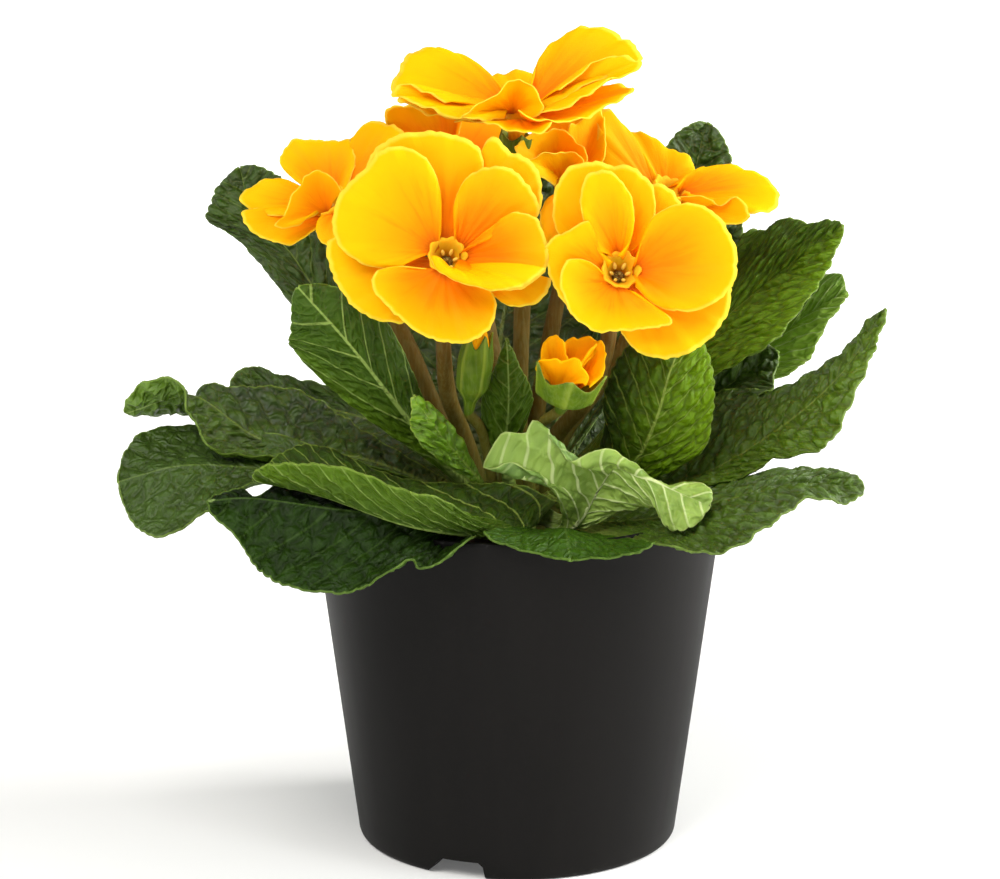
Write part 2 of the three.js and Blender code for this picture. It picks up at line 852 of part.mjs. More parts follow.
// The upper wall of the pot, for leaves that lie over the rim to give way to.
function rimSolid(grow) {
  const { rimRadius: R, height: H, wall: w } = POT;
  const [inner, outer] = [R - w - grow, R + grow];
  const profile = [
    [inner - 1.2, H - 12], [outer - 1.2, H - 12], [outer, H - 2.6], [outer, H + grow],
    [inner, H + grow], [inner - 1.2, H - 12],
  ];
  return turnedSolid(profile, POT.sides, new THREE.Vector3(0, 0, 0), new THREE.Vector3(0, 0, 1));
}

// A drain notch through the foot ring: one side leans, the other stands.
function notchSolid(turn) {
  const { width: w, high: h } = NOTCH;
  const s = new THREE.Shape();
  s.moveTo(-w / 2, -1).lineTo(w / 2, -1).lineTo(w / 2 - 0.6, h);
  s.lineTo(-w / 2 + 3.2, h).lineTo(-w / 2 + 1.2, h * 0.55);
  const g = new THREE.ExtrudeGeometry(s, { depth: 16, bevelEnabled: false });
  g.rotateX(Math.PI / 2).translate(0, -29, 0).rotateZ(turn + Math.PI / 2);
  return solidOf(g);
}

function drainSolid(turn) {
  const g = new THREE.CylinderGeometry(4.5, 4.5, 8, 8).rotateX(Math.PI / 2);
  g.translate(23 * Math.cos(turn), 23 * Math.sin(turn), POT.foot + 1);
  return solidOf(g);
}

// ---------------------------------------------------------------- soil and crown
function soilSolid(crown) {
  const { height: H, wall: w, baseRadius: B, rimRadius: R, foot: f, floor: t } = POT;
  const start = f + t + 1.6;
  const inner = (z) => B + 0.1 - w + ((R - B - 0.1) * (z - start)) / (H - start);
  const rough = stream(7);
  const lumps = (x, y) =>
    0.9 * Math.sin(0.31 * x + 1.3) * Math.cos(0.27 * y) + 0.5 * Math.sin(0.7 * y + 0.2 * x);
  const n = 16;
  const ring = (r, z, bumpy) =>
    Array.from({ length: n }, (_, k) => {
      const a = (2 * Math.PI * k) / n;
      const [x, y] = [r * Math.cos(a), r * Math.sin(a)];
      return new THREE.Vector3(x, y, z + (bumpy ? lumps(x, y) + 0.7 * (rough() - 0.5) : 0));
    });
  const gap = 0.4;
  const rings = [ring(14, f + t + gap, false), ring(B - 3.4 - w, f + t + gap, false)];
  rings.push(ring(inner(12) - gap, 12, false), ring(inner(SOIL.top - 2) - gap, SOIL.top - 2, false));
  for (const r of [47.2, 36, 22]) rings.push(ring(r, SOIL.top + (r > 45 ? -0.9 : 0), true));
  const axis = (z) => new THREE.Vector3(0, 0, z);
  const soil = ringSolid(rings, axis(f + t + gap), axis(SOIL.top));
  return biggest(soil.subtract(crown));
}

// The short root stock that leaves and flower stalks spring from.
function crownSolid(grow = 0) {
  const { radius: r, low, high } = CROWN;
  const profile = [
    [0, low - grow], [r * 0.55 + grow, low - grow], [r * 0.9 + grow, low + 4], [r + grow, low + 9],
    [r * 0.94 + grow, high - 3.5], [r * 0.72 + grow, high - 0.8 + grow * 0.7], [0, high + grow],
  ];
  return turnedSolid(profile, 14, new THREE.Vector3(0, 0, 0), new THREE.Vector3(0, 0, 1));
}

// ---------------------------------------------------------------- leaves
// How wide the blade is along its run: a narrow winged petiole, broadest past the middle.
function bladeWidth(s, shape) {
  const { neck, stem, broad, point, taper } = shape;
  if (s < broad) return stem + (1 - stem) * Math.pow(smooth((s - neck) / (broad - neck)), 0.85);
  const x = (s - broad) / (1 - broad);
  return Math.max(0.05, Math.pow(1 - Math.pow(x, point), taper));
}

// Directions carried along the midrib without twisting.
function midribFrames(curve, count) {
  const frames = [];
  let a = new THREE.Vector3(0, 0, 1);
  for (let i = 0; i <= count; i++) {
    const t = curve.getTangentAt(i / count);
    a = a.clone().addScaledVector(t, -a.dot(t)).normalize();
    frames.push({ t, a, b: t.clone().cross(a) });
  }
  return frames;
}

// Rows of points of one leaf blade, from its petiole to its tip.
function leafRows(leaf, lengthwise, crosswise) {
  const place = leaf.far ? V : seen;
  const middle = [footOn(leaf.foot), ...leaf.mid.map(place)];
  const curve = new THREE.CatmullRomCurve3(middle, false, "centripetal");
  const frames = midribFrames(curve, 60);
  const frameAt = (s) => frames[Math.round(clamp(s, 0, 1) * 60)];
  const shape = { ...LEAF, ...leaf };
  const { neck, broad } = shape;
  const local = leaf.sides.map(([s, left, right]) => {
    const f = frameAt(s);
    const w = bladeWidth(s, shape);
    const parts = (p) => {
      const d = place(p).sub(curve.getPointAt(s));
      return [d.dot(f.t) / w, d.dot(f.a) / w, d.dot(f.b) / w];
    };
    return { s, left: parts(left), right: parts(right) };
  });
  const sideAt = (s, which) => {
    const next = local.findIndex((station) => station.s >= s);
    if (next === 0) return local[0][which];
    if (next < 0) return local.at(-1)[which];
    const [before, after] = [local[next - 1], local[next]];
    const k = smooth((s - before.s) / (after.s - before.s));
    return before[which].map((v, i) => v * (1 - k) + after[which][i] * k);
  };
  const [amp, freq, shift] = leaf.wave;
  const rand = stream(leaf.name.length * 77 + Math.round(leaf.mid[0][0] * 10 + 900));
  const rows = [];
  for (let i = 0; i <= lengthwise; i++) {
    const s = 1 - Math.pow(1 - i / lengthwise, 1.25);
    const f = frameAt(s);
    const p = curve.getPointAt(s);
    const w = bladeWidth(s, shape);
    const [l, r] = [sideAt(s, "left"), sideAt(s, "right")];
    const nick = (side) =>
      (leaf.nicks ?? []).reduce(
        (k, [at, which, deep, span]) =>
          which === side ? k * (1 - deep * Math.exp(-(((s - at) / span) ** 2))) : k,
        1,
      );
    const lean = 1 - smooth((s - broad) / (1 - broad));
    const vec = ([along, up, aside]) => {
      const v = new THREE.Vector3().addScaledVector(f.t, along * lean);
      return v.addScaledVector(f.a, up).addScaledVector(f.b, aside);
    };
    const [lv, rv] = [vec(l), vec(r)];
    const up = rv.clone().sub(lv).cross(f.t).normalize();
    const row = [];
    for (let j = 0; j <= crosswise; j++) {
      const t = (2 * j) / crosswise - 1;
      const edge = Math.abs(t) > 0.99 ? 1 : 0;
      const tooth = edge * LEAF.tooth * (i % 2 ? 1 : -1) * smooth((s - neck) * 5) * (0.6 + 0.8 * rand());
      const reach = Math.abs(t) * w * nick(t < 0 ? 0 : 1);
      const q = p.clone().addScaledVector(t < 0 ? lv : rv, reach);
      const ripple = amp * Math.pow(Math.abs(t), 1.6) * smooth((s - neck) * 4) * (1 - 0.5 * s);
      const rise =
        ripple * Math.sin(2 * Math.PI * freq * s + shift + (t < 0 ? 0 : 2)) +
        shape.bow * 4 * Math.abs(t) * (1 - Math.abs(t)) * w;
      q.addScaledVector(up, rise);
      if (edge) q.addScaledVector((t < 0 ? lv : rv).clone().normalize(), tooth);
      row.push(q);
    }
    rows.push(row);
  }
  return rows;
}

function leafSolid(leaf, grow = 0) {
  const neck = leaf.neck ?? LEAF.neck;
  const thickness = (s, t) => {
    const petiole = 1 - smooth(s / (neck + 0.25));
    const rib = Math.max(0, 1 - Math.abs(t) * 3) * (1 - s);
    return [0.4 + 0.5 * petiole, 0.4 + (1.0 * petiole + 0.9 * rib) * (1 - 0.6 * Math.abs(t))];
  };
  const columns = leaf.far ? LEAF.columns - 2 : LEAF.columns;
  return bladeSolid(leafRows(leaf, leaf.rows ?? LEAF.rows, columns), thickness, grow);
}

// ---------------------------------------------------------------- blooms
// A petal is a fan of rays from its claw on the throat to its rim.
function petalRows(curve, out, face, cup, layer, columns) {
  const side = face.clone().cross(out).normalize();
  if (curve.getPointAt(1).sub(curve.getPointAt(0)).dot(side) < 0) side.negate();
  const rows = [];
  for (const u of [0, 0.5, 1]) {
    const row = [];
    for (let k = 0; k <= columns; k++) {
      const v = k / columns;
      const claw = out.clone().multiplyScalar(PETAL.clawAt);
      claw.addScaledVector(side, (v - 0.5) * PETAL.clawWidth);
      claw.addScaledVector(face, 0.3 - PETAL.layer * layer);
      const p = claw.lerp(curve.getPointAt(v), u);
      p.addScaledVector(face, cup * 4 * u * (1 - u));
      row.push(p);
    }
    rows.push(row);
  }
  return rows;
}

// The rim of a plain two-lobed petal: turned about the throat, so long and wide, lifted.
function heartRim([turn, length, width, lift], face) {
  const a = new THREE.Vector3(1, 0, 0).addScaledVector(face, -face.x).normalize();
  const b = face.clone().cross(a);
  const at = (deg) => {
    const r = ((turn + deg) * Math.PI) / 180;
    return a.clone().multiplyScalar(Math.cos(r)).addScaledVector(b, Math.sin(r));
  };
  const half = (Math.atan(width / 2 / (0.7 * length)) * 180) / Math.PI;
  const up = Math.tan((lift * Math.PI) / 180);
  const point = (share, deg, high) =>
    at(deg * half).multiplyScalar(length * share).addScaledVector(face, length * share * up + high);
  return [
    point(0.42, -1, 0.6), point(0.75, -1, 1.2), point(0.98, -0.62, 0.6), point(1, -0.3, 0),
    point(0.9, 0, -0.4), point(1, 0.3, 0.2), point(0.98, 0.62, 0.9), point(0.75, 1, 0.4),
    point(0.42, 1, -0.4),
  ];
}

// Claws stand round the throat in the order of their petals, pushed apart where two would meet.
function spreadTurns(turns) {
  const order = turns.map((_, i) => i).sort((i, j) => turns[i] - turns[j]);
  const out = [...turns];
  const n = turns.length;
  const least = (2 * Math.PI * 0.86) / Math.max(n, 5);
  for (let pass = 0; pass < 60; pass++)
    for (let k = 0; k < n; k++) {
      const [i, j] = [order[k], order[(k + 1) % n]];
      const gap = out[j] - out[i] + (k === n - 1 ? 2 * Math.PI : 0);
      if (n > 1 && gap < least) {
        out[i] -= (least - gap) / 2;
        out[j] += (least - gap) / 2;
      }
    }
  return out;
}

function corollaSolid(bloom, grow = 0) {
  const face = V(bloom.face).normalize();
  const centre = seen(bloom.at);
  const columns = bloom.name.includes("front") ? PETAL.columns : PETAL.columns - 1;
  const shapes = bloom.petals.map(({ rim, cup, layer }) => {
    const points = rim.map((p) => seenFrom(centre, p));
    return [points, cup, layer, layer > 1.2 ? columns - 1 : columns];
  });
  for (const [i, heart] of (bloom.hearts ?? []).entries())
    shapes.push([heartRim(heart, face), 1.2, i % 2, PETAL.columns - 2]);
  const half = PETAL.thick / 2;
  const a = new THREE.Vector3(1, 0, 0).addScaledVector(face, -face.x).normalize();
  const b = face.clone().cross(a);
  const curves = shapes.map(([rim]) => new THREE.CatmullRomCurve3(rim, false, "centripetal"));
  const middles = curves.map((c) => c.getPointAt(0.5));
  const turns = spreadTurns(middles.map((m) => Math.atan2(m.dot(b), m.dot(a))));
  const solids = shapes.map(([, cup, layer, columns], i) => {
    const out = a.clone().multiplyScalar(Math.cos(turns[i])).addScaledVector(b, Math.sin(turns[i]));
    const rows = petalRows(curves[i], out, face, cup, layer, columns);
    return bladeSolid(rows, () => [half, half], grow).translate([centre.x, centre.y, centre.z]);
  });
  const z = TUBE.length;
  const profile = [
    [0, -z - grow], [1.7 + grow, -z - grow], [2.1 + grow, -6], [3.8 + grow, -0.8],
    [3.7 + grow, 0.7 + grow], [2.8 - grow, 0.5 + grow], [2.3 - grow, -4 + grow], [0, -4 + grow],
  ];
  solids.push(turnedSolid(profile, 8, centre, face));
  return join(solids);
}

// Five anthers on short threads, on one small disc in the throat.
function eyeSolid(bloom, grow = 0) {
  const face = V(bloom.face).normalize();
  const centre = seen(bloom.at);
  const a = new THREE.Vector3(1, 0, 0).addScaledVector(face, -face.x).normalize();
  const b = face.clone().cross(a);
  const at = (deg, r, z) => {
    const t = (deg * Math.PI) / 180;
    const flat = a.clone().multiplyScalar(r * Math.cos(t)).addScaledVector(b, r * Math.sin(t));
    return centre.clone().add(flat).addScaledVector(face, z);
  };
  const solids = [
    turnedSolid([[0, -3.7], [1.7 + grow, -3.7], [1.7 + grow, -2.9], [0, -2.7]], 6, centre, face),
  ];
  for (let i = 0; i < 5; i++) {
    const deg = 72 * i + 20;
    solids.push(stemSolid([at(deg, 0.9, -3.2), at(deg, 1.6, 1.1)], (t) => 0.42 + 0.3 * t + grow, 3, 1));
  }
  return join(solids);
}

// The green cup below a bloom, ribbed and cut into teeth, in one run with the stalk that
// carries it from the crown.
function calyxSolid(top, axis, size, stalkPoints, stalkRadius, grow = 0) {
  const n = 8;
  const { wide, deep, inner, tooth } = size;
  const foot = top.clone().addScaledVector(axis, -deep - 2.4);
  const curve = new THREE.CatmullRomCurve3([foot, ...stalkPoints], false, "centripetal");
  let a = new THREE.Vector3(1, 0, 0).addScaledVector(axis, -axis.x).normalize();
  const ringAt = (middle, along, side, r, rib, lift) =>
    Array.from({ length: n }, (_, k) => {
      const t = (2 * Math.PI * k) / n;
      const rr = r * (1 + (k % 2 ? -rib : rib));
      const flat = side.clone().multiplyScalar(rr * Math.cos(t));
      flat.addScaledVector(along.clone().cross(side), rr * Math.sin(t));
      return middle.clone().add(flat).addScaledVector(along, k % 2 ? -lift : lift);
    });
  const rings = [];
  let side = a;
  const steps = 4;
  for (let i = 0; i <= steps; i++) {
    const along = curve.getTangentAt(i / steps).negate();
    side = side.clone().addScaledVector(along, -side.dot(along)).normalize();
    const r = stalkRadius * (0.82 + (0.18 * i) / steps) + grow;
    rings.unshift(ringAt(curve.getPointAt(i / steps), along, side, r, 0, 0));
  }
  const up = (z) => top.clone().addScaledVector(axis, z);
  rings.push(ringAt(up(-deep * 0.82), axis, a, wide * 0.84 + grow, 0.06, 0));
  rings.push(ringAt(up(0), axis, a, wide * 1.05 + grow, 0.06, tooth));
  rings.push(ringAt(up(0.2), axis, a, wide * 1.05 - 0.8 - grow, 0.06, tooth));
  rings.push(ringAt(up(-deep + 1.2 + grow), axis, a, Math.max(0.4, inner - grow), 0, 0));
  return ringSolid(rings, curve.getPointAt(1), up(-deep + 1.1 + grow));
}

// A stalk's points from below its flower down to the crown.
const stalkPoints = ({ stalk, foot }) => [...stalk.map(seen), V([...foot, STALK.foot])];

function bloomStalk(bloom, grow = 0) {
  const face = V(bloom.face).normalize();
  const top = seen(bloom.at).addScaledVector(face, -TUBE.length + 7.5);
  const size = { wide: 4.2, deep: 9.4, inner: 2.6, tooth: 1.1 };
  return calyxSolid(top, face, size, stalkPoints(bloom), STALK.radius, grow);
}

// ---------------------------------------------------------------- buds
// Closed or half-open petals wound round each other inside their green cup.
function budPetals(bud, grow = 0) {
  const axis = V(bud.axis).normalize();
  const centre = seen(bud.at);
  const a = new THREE.Vector3(1, 0, 0).addScaledVector(axis, -axis.x).normalize();
  const b = axis.clone().cross(a);
  const n = 10;
  const { radius: r, tall: h, open } = bud;
  const ring = (share, z, dip) =>
    Array.from({ length: n }, (_, k) => {
      const t = (2 * Math.PI * k) / n + z * 0.05;
      const rr = r * share * (k % 2 ? 0.9 : 1.04) + grow;
      const flat = a.clone().multiplyScalar(rr * Math.cos(t)).addScaledVector(b, rr * Math.sin(t));
      return centre.clone().add(flat).addScaledVector(axis, z + (k % 2 ? -dip : 0));
    });
  const rings = [ring(0.3, -h * 0.5 - grow, 0), ring(0.72, -h * 0.2, 0), ring(0.86, h * 0.1, 0)];
  if (open) rings.push(ring(0.98, h * 0.38, 1.2), ring(0.72, h * 0.46, 2.4), ring(0.3, h * 0.34, 1.6));
  else rings.push(ring(0.74, h * 0.32, 0.3), ring(0.4, h * 0.5, 0.5));
  const low = centre.clone().addScaledVector(axis, -h * 0.5 - 0.2 - grow);
  const high = centre.clone().addScaledVector(axis, (open ? h * 0.3 : h * 0.56) + grow);
  return ringSolid(rings, low, high);
}

function budStalk(bud, grow = 0) {
  const axis = V(bud.axis).normalize();
  const top = seen(bud.at).addScaledVector(axis, bud.tall * (bud.open ? -0.02 : 0.12));
  const deep = bud.open ? bud.tall * 0.54 + 1 : bud.tall * 0.74;
  const size = { wide: bud.radius * 1.2, deep, inner: bud.radius * 0.62, tooth: 1.5 };
  return calyxSolid(top, axis, size, stalkPoints(bud), STALK.budRadius, grow);
}

// ---------------------------------------------------------------- the whole plant
const COLOR = {
  pot: paint(0x262423, 0.62),
  soil: paint(0x2e2119, 0.98),
  crown: paint(0x6f7d3a, 0.8),
  leaf: paint(0x3a5a22, 0.6),
  young: paint(0x6b9a2c, 0.6),
  petal: paint(0xffb30a, 0.55),
  eye: paint(0xd9c63a, 0.6),
  pale: paint(0x8fae55, 0.6),
  stalk: paint(0x71803f, 0.7),
};

const crown = crownSolid();
const pieces = [];
const add = (name, make, material) => pieces.push({ name, make, material });

for (const bloom of BLOOMS) {
  add(bloom.name + "_petals", (g) => corollaSolid(bloom, g), COLOR.petal);
  if (bloom.eye !== false) add(bloom.name + "_eye", (g) => eyeSolid(bloom, g), COLOR.eye);
}
for (const bud of BUDS) add(bud.name + "_petals", (g) => budPetals(bud, g), COLOR.petal);
for (const bloom of BLOOMS) add(bloom.name + "_stalk", (g) => bloomStalk(bloom, g), COLOR.stalk);
for (const bud of BUDS) add(bud.name + "_stalk", (g) => budStalk(bud, g), COLOR.stalk);
for (const leaf of [...LEAVES, ...FAR_LEAVES.map((l) => ({ ...l, far: true }))])
  add(leaf.name, (g) => leafSolid(leaf, g), COLOR[leaf.tone ?? "leaf"]);

// Every piece gives way to the ones placed before it, so that neighbours keep a clear gap.
const plant = new THREE.Group();
plant.add(meshOf("pot", potSolid(), COLOR.pot));
plant.add(meshOf("soil", soilSolid(crownSolid(CLEAR)), COLOR.soil));
plant.add(meshOf("crown", crown, COLOR.crown));
const cutters = [crownSolid(CLEAR), rimSolid(CLEAR)];
const boxes = cutters.map((cutter) => cutter.boundingBox());
const meets = (a, b) => [0, 1, 2].every((i) => a.min[i] < b.max[i] && b.min[i] < a.max[i]);
for (const { name, make, material } of pieces) {
  const whole = make(0);
  let solid = whole;
  const box = solid.boundingBox();
  cutters.forEach((cutter, i) => {
    if (meets(box, boxes[i])) solid = solid.subtract(cutter);
  });
  plant.add(meshOf(name, biggest(biggest(solid).simplify(0.03)), material));
  const wider = make(CLEAR).add(whole);
  cutters.push(wider);
  boxes.push(wider.boundingBox());
}

export default plant;
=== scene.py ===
"""A primrose in flower in its nursery pot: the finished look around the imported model.

The pot's foot is centred on the origin, +Z is up and the plant's near side is -Y. Sizes in the
tables are in millimetres unless a comment says otherwise, and the meshes are in metres.
"""

import json
import math

import bmesh
import bpy
import numpy as np
from mathutils import Matrix, Vector

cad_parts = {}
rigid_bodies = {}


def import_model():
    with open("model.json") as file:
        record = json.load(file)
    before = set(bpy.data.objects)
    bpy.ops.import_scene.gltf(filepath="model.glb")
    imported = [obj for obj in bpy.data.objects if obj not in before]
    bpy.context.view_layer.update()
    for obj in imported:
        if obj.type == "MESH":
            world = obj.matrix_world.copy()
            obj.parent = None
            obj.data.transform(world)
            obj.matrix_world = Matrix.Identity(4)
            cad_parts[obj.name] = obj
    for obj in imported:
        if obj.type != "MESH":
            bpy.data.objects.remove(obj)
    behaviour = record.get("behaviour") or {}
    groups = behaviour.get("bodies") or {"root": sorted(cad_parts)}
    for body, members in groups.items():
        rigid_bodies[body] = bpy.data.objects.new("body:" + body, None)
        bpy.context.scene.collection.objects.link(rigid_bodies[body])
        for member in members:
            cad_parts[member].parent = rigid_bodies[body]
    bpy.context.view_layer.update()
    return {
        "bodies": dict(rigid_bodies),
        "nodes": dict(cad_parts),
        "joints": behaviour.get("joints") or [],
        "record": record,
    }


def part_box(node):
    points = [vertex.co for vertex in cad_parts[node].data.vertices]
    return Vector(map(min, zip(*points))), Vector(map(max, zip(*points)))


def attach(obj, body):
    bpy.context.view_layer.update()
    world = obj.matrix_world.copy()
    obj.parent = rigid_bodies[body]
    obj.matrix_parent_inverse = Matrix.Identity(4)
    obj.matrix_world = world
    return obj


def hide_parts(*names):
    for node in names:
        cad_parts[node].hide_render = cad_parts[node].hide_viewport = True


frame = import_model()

bl_info = {
    "name": "Potted Primrose",
    "version": (1, 0, 0),
    "blender": (4, 5, 0),
    "location": "3D View > Sidebar > Primrose",
    "description": "Builds a primrose in flower in its nursery pot",
    "category": "Add Mesh",
}

MM = 0.001
TURN = 2 * math.pi
UP = np.array((0.0, 0.0, 1.0))
FLAT = np.eye(3)[:2]
POT_LOW, POT_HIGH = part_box("pot")

# ---------------------------------------------------------------- sizes
# The view from the front that the landmarks are read in: its middle, how many units an object
# one unit away spans, the viewer's distance, the degrees they look down, and what they look at.
VIEW = dict(across=500, down=439.5, zoom=4620, reach=1173, rise=15, aim=(-4.44, 0, 104))
# A leaf unless its own entry says otherwise. Its width along its run, as shares of its length and
# of its greatest width: neck is where the stem ends, stem how wide that is, broad where it is
# widest, point and taper how its tip closes, bow how it swells. The rest is said at LEAF_LOOK.
LEAF = dict(neck=0.16, stem=0.13, broad=0.64, point=2.3, taper=0.62, bow=1.2, nicks=(), shows="up",
            tone="leaf", painted_light=(0.05, 0, 0), veins=(0.25, 0.1), fade=0.3, quilt=1.0, tooth=2.7,
            ruffle=0.45, fine=1)
# The mesh of a leaf: mm between its rows, the fewest and most rows, and its columns. A leaf that
# doesn't say which side it shows has fewer columns, and one of the far side fewer rows.
LEAF_MESH = dict(step=0.62, least=70, most=190, columns=47, plain_columns=31)
FAR = dict(far=True, fine=0.6)
# The length in mm of a wave of the fine ruffle on a leaf's margin.
RUFFLE_LENGTH = 7.5
# A petal: where its claw sits on the throat and how wide it is, how far an under petal lies below
# an upper one, its thickness, its mesh, the depth of its middle crease and the curl of its rim.
PETAL = dict(claw_at=3.1, claw_width=1.5, layer=0.95, thick=0.46, rows=18, columns=72, crease=0.5,
             curl=0.55)
TUBE_LENGTH = 13
# The throat of a bloom: radius and height of the tube outside and of the ring and cup inside.
THROAT_OUTSIDE = ((1.7, -TUBE_LENGTH), (2.0, -6), (3.0, -1.8), (3.9, -0.2), (4.4, 0.9))
THROAT_INSIDE = ((4.75, 1.8), (4.65, 2.2), (4.3, 2.2), (3.85, 1.6), (3.4, 0.8), (2.95, -0.2),
                 (2.5, -1.4), (2.0, -2.6), (1.4, -3.6))
CUP_FLOOR = -3.7
# One anther leans from foot to top: the radius of its thread, and radius and half length of its
# sac. The cones are the disc they stand on and the style: sides, rows, radius above and below,
# depth and height.
ANTHER = dict(count=6, foot=(1.5, 0, -2.5), top=(2.75, 0, -0.1), thread=0.15, radius=0.5, half=1.15)
ANTHER_CONES = ((24, 4, 1.1, 1.8, 1.0, -3.7), (12, 6, 0.42, 0.2, 3.2, -4.4))
# Stalks: radius and brown-red flush of a bloom's and a bud's, the height of the foot on the crown,
# and the distance from the calyx down to where the run of the stalk starts.
STALK = dict(radius=2.3, bud_radius=1.5, flush=0.85, bud_flush=0.25, foot=86, neck=2.4)
# A bloom's calyx: how far its rim lies up the tube, its radius and depth, the radius deep inside
# it, the length of its teeth, how far it closes and its turn. Of every calyx: the wall, and the
# depth of the lining as a share of the whole depth.
CALYX = dict(rise=7.5, wide=4.2, deep=9.4, inner=2.6, tooth=1.1, close=0, twist=0)
CALYX_WALL, CALYX_LINING = 0.45, 0.8
# The root stock: its radius and the heights of its foot and its top.
CROWN = dict(radius=12.5, low=73, high=92)
# The soil: the height of its top, its depth, the bevel at its rim, the radius of the well for the
# crown and the gap to the pot's wall.
SOIL = dict(top=80, deep=7, bevel=2, well=13.4, gap=0.45)
# Drain notches in the foot, cut between two distances from the axis, and holes between them.
DRAIN = dict(count=3, notch=(45, 29), hole_radius=4.5, hole_at=23)
# The stage in m: the radius of the flat floor, the radius of its bend and the height of the wall.
FLOOR = dict(flat=3.0, bend=0.9, wall=1.1)
# Lights by the name of their power in the settings: place, aim and size in m, and colour.
LIGHTS = {
    "key": ((-0.45, -0.75, 1.15), (0.0, 0.0, 0.12), (0.8, 0.8), (1.0, 0.98, 0.95)),
    "fill": ((1.1, -0.5, 0.6), (0.0, 0.0, 0.12), (0.7, 0.9), (0.94, 0.97, 1.0)),
    "rim": ((1.1, 0.15, 0.6), (0.0, 0.0, 0.06), (0.35, 0.9), (1.0, 0.98, 0.96)),
}

